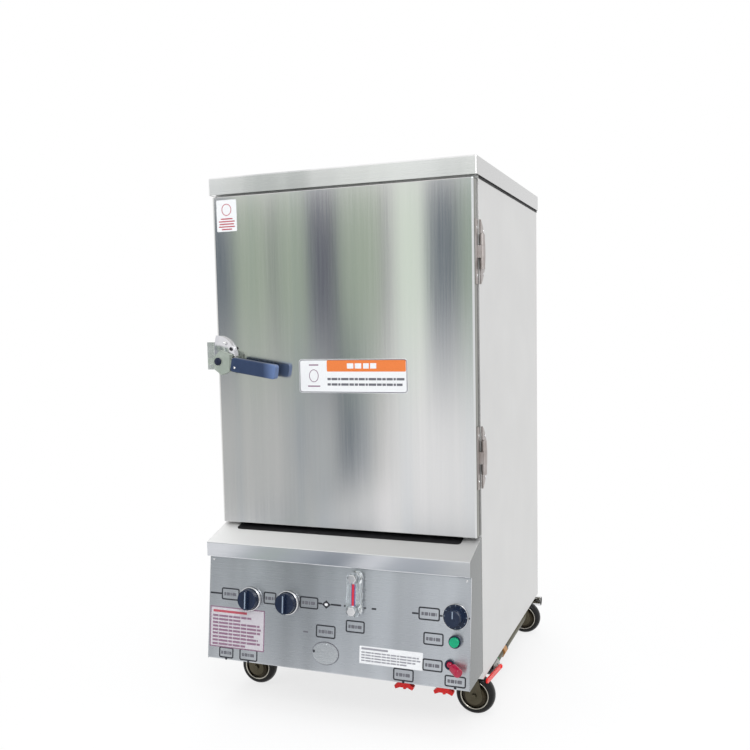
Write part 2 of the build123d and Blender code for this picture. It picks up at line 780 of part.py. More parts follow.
# Gas supply line: inlet pipe, black joint, brass union, ball valve and elbow under the right side
union_y = 276.0
joint_y = 297.0
drop_y = body_depth - 145.0
with BuildPart() as gas_supply_line:
    with BuildLine() as supply_path:
        FilletPolyline(
            (gas_x, back_y + gas_inlet_stand, gas_inlet_z),
            (gas_x, front(drop_y), gas_inlet_z),
            (gas_x, front(drop_y), gas_z),
            (gas_x, front(joint_y + 7.0 + plate_gap), gas_z),
            radius=25,
        )
    with BuildSketch(Plane(supply_path.line @ 0, z_dir=supply_path.line % 0)):
        Circle(pipe_radius)
    sweep()
    with BuildSketch(Plane.XZ.offset(-back_y - plate_gap)):
        with Locations((gas_x, gas_inlet_z)):
            RegularPolygon(lock_nut_radius, 6)
    extrude(amount=-lock_nut_height)
    with BuildSketch(Plane(supply_path.line @ 0, z_dir=supply_path.line % 0)):
        Circle(pipe_radius - 2.5)
    sweep(path=supply_path.line, mode=Mode.SUBTRACT)
    with BuildSketch(Plane.XZ.offset(-front(joint_y))):
        with Locations((gas_x, gas_z)):
            Circle(13.0)
    extrude(amount=7.0, both=True)
    with BuildSketch(Plane.XZ.offset(-front(union_y))):
        with Locations((gas_x, gas_z)):
            RegularPolygon(15.0, 6)
    extrude(amount=14.0 - plate_gap, both=True)
    with BuildSketch(Plane.XZ.offset(-front(gas_valve_y + 24.0 + plate_gap))):
        with Locations((gas_x, gas_z)):
            Circle(pipe_radius)
    extrude(amount=-(union_y - 14.0 - gas_valve_y - 24.0 - plate_gap))
    with BuildSketch(Plane.XZ.offset(-front(gas_valve_y))):
        with Locations((gas_x, gas_z)):
            RegularPolygon(valve_radius, 8)
    extrude(amount=24.0, both=True)
    with BuildSketch(Plane.YZ.offset(gas_x)):
        with Locations((front(gas_valve_y), gas_z)):
            Circle(stem_radius + 3.0)
    extrude(amount=valve_radius + 1.5)
    with BuildSketch(Plane.YZ.offset(gas_x + 4.0)):
        with Locations((front(gas_valve_y), gas_z)):
            Circle(stem_radius + running_fit)
    extrude(amount=valve_radius, mode=Mode.SUBTRACT)
    with BuildLine() as elbow_path:
        FilletPolyline(
            (gas_x, front(gas_valve_y - 24.0 - plate_gap), gas_z),
            (gas_x, riser_y, gas_z),
            (gas_x, riser_y, gas_z + 20.0),
            radius=14,
        )
    with BuildSketch(Plane(elbow_path.line @ 0, z_dir=elbow_path.line % 0)):
        Circle(13.0)
    sweep(path=elbow_path.line)
    with BuildSketch(Plane.XY.offset(gas_z + 20.0)):
        with Locations((gas_x, riser_y)):
            Circle(pipe_radius)
    extrude(amount=riser_top - gas_z - 20.0 - plate_gap)
save(gas_supply_line, "gas_supply_line")

# Gas ball valve lever, outside the right side panel, on a stem that turns in the valve body
lever_x = half_width + 3.0
lever_thickness = 4.5
lever_width = 12.0
lever_heel = 4.0
lever_mid_y = front(gas_valve_y - lever_length / 2 + lever_heel)
lever_mid_z = gas_z + lever_length / 2 * sin(radians(lever_rise))
with BuildPart() as gas_valve_lever:
    with BuildSketch(Plane.YZ.offset(lever_x)):
        with Locations(Location((lever_mid_y, lever_mid_z), -lever_rise)):
            SlotOverall(lever_length + 2 * lever_heel, lever_width)
    extrude(amount=lever_thickness)
    with BuildSketch(Plane.YZ.offset(gas_x + 5.0)):
        with Locations((front(gas_valve_y), gas_z)):
            Circle(stem_radius)
    extrude(amount=lever_x + lever_thickness + 2.0 - gas_x - 5.0)
save(gas_valve_lever, "gas_valve_lever")

# Outlet pipe: leaves the boiler, passes the rear panel and turns down and to the right
with BuildPart() as outlet_pipe:
    with BuildLine() as outlet_path:
        FilletPolyline(
            (outlet_x, front(boiler_back), overflow_z),
            (outlet_x, back_y + outlet_stand, overflow_z),
            (outlet_x, back_y + outlet_stand, outlet_z),
            (outlet_end, back_y + outlet_stand, outlet_z),
            radius=outlet_radius + 8.0,
        )
    with BuildSketch(Plane(outlet_path.line @ 0, z_dir=outlet_path.line % 0)):
        Circle(outlet_radius)
        Circle(outlet_radius - 2.0, mode=Mode.SUBTRACT)
    sweep()
save(outlet_pipe, "outlet_pipe")

# Control bodies: timer with its dial disc, push button bezel and switch bushing
dial_radius = 31.0
dial_thickness = 3.0
bezel_radius = 15.0
bezel_height = 12.0
bezel_floor = 0.8
button_radius = 11.5
bushing_radius = 12.0
bushing_height = 5.0
ball_radius = 8.5
timer_body = (58.0, 42.0)
timer_bore = 30.0
bezel_shank = 30.0
plunger_bore = 26.0
switch_body = 34.0
socket_depth = 8.0
with BuildPart() as control_bodies:
    with BuildSketch(on_panel(timer_x, timer_drop)):
        Circle(dial_radius)
    extrude(amount=dial_thickness)
    with BuildSketch(on_panel(timer_x, timer_drop)):
        Circle(timer_hole - plate_gap)
    extrude(amount=-2 * sheet)
    with BuildSketch(on_panel(timer_x, timer_drop, -2 * sheet)):
        Rectangle(timer_body[0], timer_body[0])
    extrude(amount=-timer_body[1])
    with BuildSketch(on_panel(timer_x, timer_drop, dial_thickness)):
        Circle(spindle_radius + running_fit)
    extrude(amount=-timer_bore, mode=Mode.SUBTRACT)
    with BuildSketch(on_panel(button_x, button_drop)):
        Circle(bezel_radius)
    extrude(amount=bezel_height)
    with BuildSketch(on_panel(button_x, button_drop, -bezel_shank)):
        Circle(button_hole - plate_gap)
    extrude(amount=bezel_shank)
    with BuildSketch(on_panel(button_x, button_drop, bezel_floor)):
        Circle(button_radius + loose_fit)
    extrude(amount=bezel_height, mode=Mode.SUBTRACT)
    with BuildSketch(on_panel(button_x, button_drop, bezel_height)):
        Circle(spindle_radius + running_fit)
    extrude(amount=-bezel_height - plunger_bore, mode=Mode.SUBTRACT)
    with BuildSketch(on_panel(switch_x, switch_drop)):
        Circle(bushing_radius)
    extrude(amount=bushing_height)
    with BuildSketch(on_panel(switch_x, switch_drop, -switch_body)):
        Circle(switch_hole - plate_gap)
    extrude(amount=switch_body)
    with BuildSketch(on_panel(switch_x, switch_drop, -socket_depth)):
        Circle(ball_radius + loose_fit)
    extrude(amount=bushing_height + socket_depth, mode=Mode.SUBTRACT)
save(control_bodies, "control_bodies")

# Burner knobs: skirted knobs with a pointer bar, turning on their spindles in the cocks
skirt_height = 7.0
knob_step = 3.5
pointer = (10.0, 50.0)
for knob_side, knob_x in burner_knob_xs.items():
    with BuildPart() as burner_knob:
        with BuildSketch(on_panel(knob_x, burner_knob_drop, knob_gap)):
            Circle(knob_radius)
        extrude(amount=skirt_height, taper=12)
        with BuildSketch(on_panel(knob_x, burner_knob_drop, knob_gap + skirt_height)):
            Circle(knob_radius - knob_step)
        extrude(amount=knob_height - knob_gap - skirt_height - 8.0, taper=4)
        with BuildSketch(on_panel(knob_x, burner_knob_drop, knob_gap + skirt_height)):
            SlotOverall(pointer[1], pointer[0], rotation=90)
        extrude(amount=knob_height - knob_gap - skirt_height, taper=2)
        with BuildSketch(on_panel(knob_x, burner_knob_drop, knob_gap)):
            Circle(spindle_radius)
        extrude(amount=-(cock_start + cock_length / 2))
    save(burner_knob, f"{knob_side}_burner_knob")

# Timer knob in front of its dial disc
with BuildPart() as timer_knob:
    with BuildSketch(on_panel(timer_x, timer_drop, dial_thickness + knob_gap)):
        Circle(24.0)
    extrude(amount=6.0, taper=8)
    with BuildSketch(on_panel(timer_x, timer_drop, dial_thickness + knob_gap + 6.0)):
        Circle(20.0)
    extrude(amount=20.0, taper=5)
    with BuildSketch(on_panel(timer_x, timer_drop, dial_thickness + knob_gap)):
        Circle(spindle_radius)
    extrude(amount=-28)
save(timer_knob, "timer_knob")

# Green push button, sliding in its bezel
button_stand = 20.0
button_travel = 4.0
with BuildPart() as push_button:
    with BuildSketch(on_panel(button_x, button_drop, button_travel + 1.0)):
        Circle(button_radius)
    extrude(amount=button_stand - button_travel - 1.0)
    fillet(push_button.faces().sort_by(Axis.Y)[0].edges(), 1.5)
    with BuildSketch(on_panel(button_x, button_drop, button_travel + 1.0)):
        Circle(spindle_radius)
    extrude(amount=-20)
save(push_button, "push_button")

# Red-capped switch lever on its ball, tipped down to the right
switch_tilt = 52.0
switch_lean = -22.0
ball_plane = on_panel(switch_x, switch_drop, bushing_height - 2.0)
lever_plane = Plane(
    ball_plane.location * Location((0, 0, 0), (0, 0, switch_lean)) * Location((0, 0, 0), (0, switch_tilt, 0))
)
neck_length = 14.0
cap_length = 26.0
cap_radius = 10.5
with BuildPart() as switch_lever:
    with BuildSketch(lever_plane):
        Circle(3.5)
    extrude(amount=neck_length + 2.0)
    with Locations(ball_plane.origin):
        Sphere(ball_radius - 1.0)
    with BuildSketch(lever_plane.offset(neck_length)):
        Circle(cap_radius)
    extrude(amount=cap_length, taper=-2)
    fillet(switch_lever.faces().sort_by(SortBy.DISTANCE)[-1].edges(), 4)
save(switch_lever, "switch_lever")

# Lighting flap: an oval cover hanging from its pivot above the lighting hole
flap_size = (70.0, 54.0)
flap_sheet = 2.0
flap_pivot = 20.0
with BuildPart() as access_flap:
    with BuildSketch(on_panel(flap_x, flap_drop, loose_fit)):
        Ellipse(flap_size[0] / 2, flap_size[1] / 2)
    extrude(amount=flap_sheet)
    with BuildSketch(on_panel(flap_x, flap_drop - flap_pivot, loose_fit + flap_sheet)):
        Circle(5.0)
    extrude(amount=2.5)
save(access_flap, "access_flap")

# Door outer skin: a pressed pan with rounded front edges
door_mid_z = (door_bottom + door_top) / 2
door_size = (2 * door_half, door_top - door_bottom)
with BuildPart() as door_skin:
    with BuildSketch(Plane.XZ.offset(-front(-door_back))):
        with Locations((0, door_mid_z)):
            Rectangle(*door_size)
    extrude(amount=door_front - door_back)
    fillet(door_skin.edges().filter_by(Axis.Z).group_by(Axis.Y)[0], door_edge_radius)
    fillet(door_skin.edges().filter_by(Axis.X).group_by(Axis.Y)[0], 2 * door_sheet)
    offset(amount=-door_sheet, openings=door_skin.faces().sort_by(Axis.Y)[-1])
save(door_skin, "door_skin")

# Door inner pan, closing the back of the skin, with a raised middle field
pan_field = 2.5
with BuildPart() as door_inner_pan:
    with BuildSketch(Plane.XZ.offset(-front(-door_back))):
        with Locations((0, door_mid_z)):
            RectangleRounded(
                door_size[0] - 2 * (door_sheet + plate_gap),
                door_size[1] - 2 * (door_sheet + plate_gap),
                2 * door_sheet,
            )
    extrude(amount=door_sheet)
    with BuildSketch(Plane.XZ.offset(-front(-door_back))):
        with Locations((0, door_mid_z)):
            RectangleRounded(mouth_size[0] - 60.0, mouth_size[1] - 60.0, 30)
    extrude(amount=-pan_field, taper=20)
save(door_inner_pan, "door_inner_pan")

# Foam core between the skin and the inner pan
with BuildPart() as door_core:
    with BuildSketch(Plane.XZ.offset(-front(-door_back - door_sheet - plate_gap))):
        with Locations((0, door_mid_z)):
            Rectangle(
                door_size[0] - 2 * (door_edge_radius + plate_gap),
                door_size[1] - 2 * (2 * door_sheet + plate_gap),
            )
    extrude(amount=door_front - door_back - 2 * (door_sheet + plate_gap))
save(door_core, "door_core")

# Door gasket around the mouth
gasket_clear = 8.0
with BuildPart() as door_gasket:
    with BuildSketch(Plane.XZ.offset(-front(-door_back))):
        with Locations((0, mouth_centre_z)):
            RectangleRounded(
                mouth_size[0] + 2 * (gasket_clear + gasket_width),
                mouth_size[1] + 2 * (gasket_clear + gasket_width),
                gasket_width + gasket_clear,
            )
            RectangleRounded(
                mouth_size[0] + 2 * gasket_clear,
                mouth_size[1] + 2 * gasket_clear,
                gasket_clear,
                mode=Mode.SUBTRACT,
            )
    extrude(amount=-(door_back - loose_fit))
save(door_gasket, "door_gasket")

# Body hinge leaves: spindle-shaped leaf on the side panel, end knuckles, web and pin
pin_x = half_width + pin_offset
web_thickness = 8.0
with BuildPart() as frame_hinges:
    for hinge_z in hinge_heights:
        with BuildSketch(Plane.YZ.offset(half_width)):
            with BuildLine():
                ThreePointArc(
                    (front(1.0), hinge_z - hinge_length / 2),
                    (front(hinge_leaf_width), hinge_z),
                    (front(1.0), hinge_z + hinge_length / 2),
                )
                Line((front(1.0), hinge_z + hinge_length / 2), (front(1.0), hinge_z - hinge_length / 2))
            make_face()
        extrude(amount=hinge_leaf)
        with BuildSketch(Plane.XY.offset(hinge_z)):
            with Locations((half_width + pin_offset / 2, front(web_thickness / 2 + 1.0))):
                Rectangle(pin_offset, web_thickness)
            with Locations((pin_x, front(0))):
                Circle(knuckle_radius)
        extrude(amount=knuckle_end, both=True)
        with BuildSketch(Plane.XY.offset(hinge_z)):
            with Locations((half_width + pin_offset, front(0))):
                Rectangle(2 * pin_offset, 3 * knuckle_radius)
        extrude(amount=knuckle_half + loose_fit, both=True, mode=Mode.SUBTRACT)
        with BuildSketch(Plane.XY.offset(hinge_z - knuckle_end)):
            with Locations((pin_x, front(0))):
                Circle(pin_radius)
        extrude(amount=2 * knuckle_end + 3.0)
save(frame_hinges, "frame_hinges")

# Door hinge leaves: strip on the door's edge and an arm to the middle knuckle
strip_thickness = 3.0
arm_back = 2.5
arm_depth = 8.0
with BuildPart() as door_hinges:
    for hinge_z in hinge_heights:
        with BuildSketch(Plane.XY.offset(hinge_z)):
            with Locations((door_half + strip_thickness / 2, front(-(door_front + door_back) / 2))):
                Rectangle(strip_thickness, door_front - door_back - 2 * door_edge_radius)
        extrude(amount=hinge_length / 2, both=True)
        with BuildSketch(Plane.XY.offset(hinge_z)):
            with Locations(((door_half + pin_x) / 2, front(-arm_back - arm_depth / 2))):
                Rectangle(pin_x - door_half, arm_depth)
            with Locations((pin_x, front(0))):
                Circle(knuckle_radius)
                Circle(pin_radius + running_fit, mode=Mode.SUBTRACT)
        extrude(amount=knuckle_half, both=True)
        with BuildSketch(Plane.XY.offset(hinge_z)):
            with Locations((pin_x, front(0))):
                Circle(pin_radius + running_fit)
        extrude(amount=knuckle_half, both=True, mode=Mode.SUBTRACT)
save(door_hinges, "door_hinges")

# Latch keeper on the left side panel: an angle whose nose stands in front of the body
keeper_sheet = 3.0
keeper_z = 906.0
with BuildPart() as latch_keeper:
    with BuildSketch(Plane.XY.offset(keeper_z)):
        with BuildLine():
            FilletPolyline(
                (-half_width, front(hinge_leaf_width)),
                (-half_width, front(-keeper_front)),
                (-half_width - keeper_reach, front(-keeper_front)),
                radius=keeper_sheet + 1.0,
            )
            offset(amount=keeper_sheet, side=Side.RIGHT)
        make_face()
    extrude(amount=keeper_height / 2, both=True)
    fillet(latch_keeper.edges().filter_by(Axis.X).group_by(Axis.Y)[-1], 0.8)
save(latch_keeper, "latch_keeper")

# Latch base: a fan-shaped dome on the door, with the boss and the pivot pin
fan_corner_x = -door_half + 3.0
fan_corner_z = latch_z + latch_fan_lift
boss_radius = 22.0
pivot_radius = 6.0
fan_rise = 18.0
with BuildPart() as latch_base:
    with BuildSketch(Plane.XY.move(Location((fan_corner_x, front(-door_front), fan_corner_z)))):
        with BuildLine():
            Line((0, 0), (0, -fan_rise))
            Line((0, -fan_rise), (14, -fan_rise))
            Spline((14, -fan_rise), (36, -fan_rise + 2.5), (latch_fan_radius, -fan_rise / 2))
            Line((latch_fan_radius, -fan_rise / 2), (latch_fan_radius, 0))
            Line((latch_fan_radius, 0), (0, 0))
        make_face()
    revolve(axis=Axis((fan_corner_x, front_y, fan_corner_z), (0, -1, 0)), revolution_arc=90)
    with BuildSketch(Plane.XZ.offset(-front(-door_front))):
        with Locations((latch_x, latch_z)):
            Circle(boss_radius)
    extrude(amount=hub_back - door_front - loose_fit)
    with BuildSketch(Plane.XZ.offset(-front(-door_front))):
        with Locations((latch_x, latch_z)):
            Circle(pivot_radius)
    extrude(amount=hub_front - door_front + 1.5)
save(latch_base, "latch_base")

# Latch hub: hexagonal plate with the tongue that lies in front of the keeper
hub_outline = ((7.0, 28.5), (34.0, 17.5), (32.5, -25.5), (8.5, -35.0), (-11.0, -20.5), (-14.0, 10.0))
tongue = (33.0, 16.0, 8.0)
neck = (12.0, 22.0, 10.0)
neck_reach = 4.0
grip_plane = Plane(
    Plane.XZ.offset(-front(-(hub_front + hub_back) / 2)).location
    * Location((latch_x + 34.0, latch_z - 3.0, 0), (0, 0, -grip_droop))
)
with BuildPart() as latch_hub:
    with BuildSketch(Plane.XZ.offset(-front(-hub_back))):
        with Locations((latch_x, latch_z)):
            with BuildLine():
                Polyline(*[(latch_x + x, latch_z + z) for x, z in hub_outline], close=True)
            make_face()
    extrude(amount=hub_front - hub_back)
    fillet(latch_hub.edges().filter_by(Axis.Y), 2)
    with BuildSketch(Plane.XZ.offset(-front(-hub_back))):
        with Locations((latch_x - tongue[0] / 2, latch_z)):
            Rectangle(tongue[0], tongue[1])
    extrude(amount=tongue[2])
    with BuildSketch(grip_plane):
        with Locations((neck_reach - neck[0] / 2, -4.0)):
            Rectangle(neck[0], neck[1])
    extrude(amount=neck[2] / 2, both=True)
    with BuildSketch(Plane.XZ.offset(-front(-hub_back))):
        with Locations((latch_x, latch_z)):
            Circle(pivot_radius + running_fit)
    extrude(amount=hub_front - hub_back, mode=Mode.SUBTRACT)
save(latch_hub, "latch_hub")

# Latch grip: a drooping bar with a rounded end, pushed onto the hub's arm
grip_corner = 7.0
grip_edge = 3.0
with BuildPart() as latch_grip:
    with BuildSketch(grip_plane):
        with Locations((neck_reach + plate_gap + grip_length / 2, -4.0)):
            RectangleRounded(grip_length, grip_height, grip_corner)
    extrude(amount=grip_thickness / 2, both=True)
    fillet(latch_grip.faces().sort_by(Axis.Y)[0].edges(), grip_edge)
save(latch_grip, "latch_grip")

# Castors: top plates with kingpins, forks with axles, wheels with a tyre on a rim
nut_radius = 10.0
nut_height = 4.5
caster_spots = {
    "front_left": (-caster_x, front(caster_inset)),
    "front_right": (caster_x, front(caster_inset)),
    "rear_left": (-caster_x, front(body_depth - caster_rear_inset)),
    "rear_right": (caster_x, front(body_depth - caster_rear_inset)),
}
with BuildPart() as caster_plates:
    for spot_x, spot_y in caster_spots.values():
        with BuildSketch(Plane.XY.offset(base_plate_z)):
            with Locations((spot_x, spot_y)):
                RectangleRounded(caster_plate, caster_plate, 8)
        extrude(amount=-caster_plate_sheet)
        with BuildSketch(Plane.XY.offset(base_plate_z - caster_plate_sheet)):
            with Locations((spot_x, spot_y)):
                Circle(crown_radius)
        extrude(amount=-(base_plate_z - caster_plate_sheet - crown_top - loose_fit), taper=10)
        with BuildSketch(Plane.XY.offset(base_plate_z - caster_plate_sheet)):
            with Locations((spot_x, spot_y)):
                Circle(kingpin_radius)
        extrude(amount=-(base_plate_z - caster_plate_sheet - crown_top + crown_thickness + nut_height))
        with BuildSketch(Plane.XY.offset(crown_top - crown_thickness - loose_fit)):
            with Locations((spot_x, spot_y)):
                RegularPolygon(nut_radius, 6)
        extrude(amount=-nut_height)
save(caster_plates, "caster_plates")

leg_offset = wheel_width / 2 + fork_gap
leg_end_radius = 22.0
hub_radius = 17.0
hub_half = leg_offset - loose_fit
rim_radius = 34.0
for corner, (spot_x, spot_y) in caster_spots.items():
    axle_x = spot_x + wheel_trail
    with BuildPart() as fork:
        with BuildSketch(Plane.XY.offset(crown_top)):
            with Locations((spot_x, spot_y)):
                Circle(crown_radius)
        extrude(amount=-crown_thickness)
        with BuildSketch(Plane.XZ.offset(-spot_y)):
            with BuildLine():
                Line((spot_x - 18, crown_top), (axle_x - leg_end_radius, wheel_radius))
                ThreePointArc(
                    (axle_x - leg_end_radius, wheel_radius),
                    (axle_x, wheel_radius - leg_end_radius),
                    (axle_x + leg_end_radius, wheel_radius),
                )
                Polyline(
                    (axle_x + leg_end_radius, wheel_radius),
                    (spot_x + 18, crown_top),
                    (spot_x - 18, crown_top),
                )
            make_face()
        extrude(amount=leg_offset + fork_sheet, both=True)
        with BuildSketch(Plane.XZ.offset(-spot_y)):
            with Locations((spot_x, (crown_top - crown_thickness) / 2)):
                Rectangle(4 * wheel_radius, crown_top - crown_thickness)
        extrude(amount=leg_offset, both=True, mode=Mode.SUBTRACT)
        with BuildSketch(Plane.XZ.offset(-spot_y)):
            with Locations((axle_x, wheel_radius)):
                Circle(axle_radius)
        extrude(amount=leg_offset + fork_sheet + 5.0, both=True)
        for face_y in (spot_y - leg_offset - fork_sheet, spot_y + leg_offset + fork_sheet + 5.0):
            with BuildSketch(Plane.XZ.offset(-face_y)):
                with Locations((axle_x, wheel_radius)):
                    RegularPolygon(7.0, 6)
            extrude(amount=5.0)
        with BuildSketch(Plane.XY.offset(crown_top)):
            with Locations((spot_x, spot_y)):
                Circle(kingpin_radius + running_fit)
        extrude(amount=-crown_thickness, mode=Mode.SUBTRACT)
    save(fork, f"caster_{corner}_fork")
    with BuildPart() as wheel:
        with BuildSketch(Plane.XZ.offset(-spot_y)):
            with Locations((axle_x, wheel_radius)):
                Circle(wheel_radius)
        extrude(amount=wheel_width / 2, both=True)
        fillet(wheel.edges(), 7)
        for face_side in (-1, 1):
            with BuildSketch(Plane.XZ.offset(-spot_y + face_side * wheel_width / 2)):
                with Locations((axle_x, wheel_radius)):
                    Circle(rim_radius)
            extrude(amount=-face_side * 6.0, mode=Mode.SUBTRACT)
        with BuildSketch(Plane.XZ.offset(-spot_y)):
            with Locations((axle_x, wheel_radius)):
                Circle(hub_radius)
        extrude(amount=hub_half, both=True)
        with BuildSketch(Plane.XZ.offset(-spot_y)):
            with Locations((axle_x, wheel_radius)):
                Circle(axle_radius + running_fit)
        extrude(amount=hub_half, both=True, mode=Mode.SUBTRACT)
    save(wheel, f"caster_{corner}_wheel")
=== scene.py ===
"""Looks of the gas rice steamer: metals, printed marks, small fittings, light and camera.

Metres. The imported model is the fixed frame; every piece made here rides on one of its bodies.
"""
import math

import bpy
import numpy as np
from mathutils import Matrix, Vector


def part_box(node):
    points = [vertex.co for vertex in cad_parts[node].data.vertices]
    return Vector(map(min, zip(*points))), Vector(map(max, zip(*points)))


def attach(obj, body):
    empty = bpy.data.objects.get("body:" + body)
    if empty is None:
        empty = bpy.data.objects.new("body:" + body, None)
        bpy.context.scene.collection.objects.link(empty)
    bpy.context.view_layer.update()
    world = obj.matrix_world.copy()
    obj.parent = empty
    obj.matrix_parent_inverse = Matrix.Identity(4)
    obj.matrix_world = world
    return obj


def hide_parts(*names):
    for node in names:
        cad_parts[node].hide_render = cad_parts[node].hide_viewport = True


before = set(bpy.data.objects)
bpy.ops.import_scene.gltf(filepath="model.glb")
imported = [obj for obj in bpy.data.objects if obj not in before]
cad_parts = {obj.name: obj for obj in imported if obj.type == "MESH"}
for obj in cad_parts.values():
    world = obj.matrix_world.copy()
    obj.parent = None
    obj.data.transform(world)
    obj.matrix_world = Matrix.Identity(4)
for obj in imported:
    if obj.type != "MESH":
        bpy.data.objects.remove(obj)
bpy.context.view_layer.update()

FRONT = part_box("right_side_panel")[0][1]
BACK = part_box("right_side_panel")[1][1]
RIGHT, UP = np.array((1.0, 0.0, 0.0)), np.array((0.0, 0.0, 1.0))
OUT = np.array((0.0, -1.0, 0.0))

# The control panel leans back by PANEL_LEAN over its height
PANEL_LEAN, PANEL_RISE = 0.031, 0.261
TILT = math.atan2(PANEL_LEAN, PANEL_RISE)
PANEL_TOP = np.array((0.0, FRONT - 0.095, 0.389))
PANEL_OUT = np.array((0.0, -math.cos(TILT), math.sin(TILT)))
PANEL_UP = np.array((0.0, math.sin(TILT), math.cos(TILT)))

# The hood's slope starts at HOOD_TOP in the cabinet's front plane and falls by SLOPE_FALL over SLOPE_RUN
HOOD_TOP, SLOPE_FALL, SLOPE_RUN = 0.4640, 0.034, 0.110
SLOPE_OUT = np.array((0.0, -SLOPE_FALL, SLOPE_RUN)) / math.hypot(SLOPE_FALL, SLOPE_RUN)

# Names of the castors, heights of the hinges, x and drop of the lighting flap and the timer
CORNERS = ("front_left", "front_right", "rear_left", "rear_right")
HINGES = (0.657, 1.143)
FLAP, TIMER = (-0.017, 0.215), (0.312, 0.093)


def spot(x, depth, height):
    """Point in the room: depth runs back from the cabinet's front plane."""
    return np.array((x, FRONT + depth, height))


def panel_point(x, drop, stand=0.0):
    """Point on the control panel: x to the right, drop below its top edge, stand-off outwards."""
    return PANEL_TOP + RIGHT * x - PANEL_UP * drop + PANEL_OUT * stand


def slope_point(x, reach, stand):
    """Point at the hood's slope: reach runs forwards from the front plane, stand-off straight up."""
    return spot(x, -reach, HOOD_TOP - reach * SLOPE_FALL / SLOPE_RUN + stand)


# Materials


class Finish:
    """A finish under construction: its node tree, its shader and object coordinates."""

    def __init__(self, name, base, roughness, metallic=0.0):
        self.material = bpy.data.materials.new(name)
        self.material.use_nodes = True
        self.tree = self.material.node_tree
        self.shader = self.tree.nodes["Principled BSDF"]
        self.shader.inputs["Base Color"].default_value = (*base, 1)
        self.shader.inputs["Roughness"].default_value = roughness
        self.shader.inputs["Metallic"].default_value = metallic
        place = self.add("ShaderNodeTexCoord")
        self.coordinates, self.facing = place.outputs["Object"], place.outputs["Normal"]
        self.material.diffuse_color = (*base, 1)

    def add(self, kind, **values):
        """New node, with its properties or input values set."""
        node = self.tree.nodes.new(kind)
        for key, value in values.items():
            if key in node.inputs:
                node.inputs[key].default_value = value
            else:
                setattr(node, key, value)
        return node

    def link(self, output, node, name):
        """Link from an output to an input of a node."""
        self.tree.links.new(output, node.inputs[name])

    def noise(self, stretch, scale=1.0, detail=3.0):
        """Noise over object coordinates, stretched by a factor along each axis."""
        mapping = self.add("ShaderNodeMapping", Scale=stretch)
        self.link(self.coordinates, mapping, "Vector")
        noise = self.add("ShaderNodeTexNoise", Scale=scale, Detail=detail)
        self.link(mapping.outputs["Vector"], noise, "Vector")
        return noise.outputs["Fac"]

    def grain(self, axis):
        """Fine brushed lines that run along one axis."""
        return self.noise(tuple(6.0 if name == axis else 900.0 for name in "xyz"), 1.0, 2.0)

    def remap(self, value, low, high, start=0.3, end=0.7):
        """Value between start and end, mapped to low and high."""
        node = self.add("ShaderNodeMapRange")
        self.link(value, node, "Value")
        for name, number in zip(("From Min", "From Max", "To Min", "To Max"), (start, end, low, high)):
            node.inputs[name].default_value = number
        return node.outputs["Result"]

    def ramp(self, value, stops):
        """Colour ramp: stops are (place, rgb)."""
        node = self.add("ShaderNodeValToRGB")
        elements = node.color_ramp.elements
        while len(elements) < len(stops):
            elements.new(0.5)
        for element, (place, colour) in zip(elements, stops):
            element.position = place
            element.color = (*colour, 1)
        self.link(value, node, "Fac")
        return node.outputs["Color"]

    def mix(self, factor, first, second, mode="MIX"):
        """Mix of two colours, each an output or an rgb value."""
        node = self.add("ShaderNodeMix", data_type="RGBA", blend_type=mode)
        for index, value in ((0, factor), (6, first), (7, second)):
            if isinstance(value, bpy.types.NodeSocket):
                self.tree.links.new(value, node.inputs[index])
            elif index:
                node.inputs[index].default_value = (*value, 1)
            else:
                node.inputs[index].default_value = value
        return node.outputs[2]

    def times(self, first, second):
        """Product of two colours, or of a colour and a value."""
        return self.mix(1.0, first, second, "MULTIPLY")

    def maths(self, operation, first, second):
        """One operation on two values, each an output or a number."""
        node = self.add("ShaderNodeMath", operation=operation)
        for index, value in ((0, first), (1, second)):
            if isinstance(value, bpy.types.NodeSocket):
                self.tree.links.new(value, node.inputs[index])
            else:
                node.inputs[index].default_value = value
        return node.outputs["Value"]

    def part(self, vector, name):
        """One component of a vector output."""
        node = self.add("ShaderNodeSeparateXYZ")
        self.link(vector, node, "Vector")
        return node.outputs[name]

    def sideways(self):
        """1 on faces that look to the left or right, 0 on the others: the mask of the painted shade on side
        faces.
        """
        size = self.maths("ABSOLUTE", self.part(self.facing, "X"), 0.0)
        return self.remap(size, 0.0, 1.0, 0.80, 0.92)

    def bump(self, height, strength, distance):
        """Bump of the surface after a height value."""
        node = self.add("ShaderNodeBump", Strength=strength, Distance=distance)
        self.link(height, node, "Height")
        self.link(node.outputs["Normal"], self.shader, "Normal")

    def smear(self, direction, amount):
        """Reflections drawn out along a direction of the object, across its brushed lines."""
        vector = self.add("ShaderNodeCombineXYZ")
        for name, value in zip("XYZ", direction):
            vector.inputs[name].default_value = value
        turn = self.add("ShaderNodeVectorTransform", vector_type="VECTOR", convert_from="OBJECT")
        turn.convert_to = "WORLD"
        self.link(vector.outputs["Vector"], turn, "Vector")
        self.link(turn.outputs["Vector"], self.shader, "Tangent")
        self.shader.inputs["Anisotropic"].default_value = amount

    def set(self, name, value):
        """Input of the shader, from an output or a value."""
        if isinstance(value, bpy.types.NodeSocket):
            self.link(value, self.shader, name)
        else:
            self.shader.inputs[name].default_value = value


EVEN = (1, 1, 1)
# Painted shade: the dark tone painted on the console's side faces
CONSOLE_SIDE_SHADE = (0.11, 0.12, 0.12)


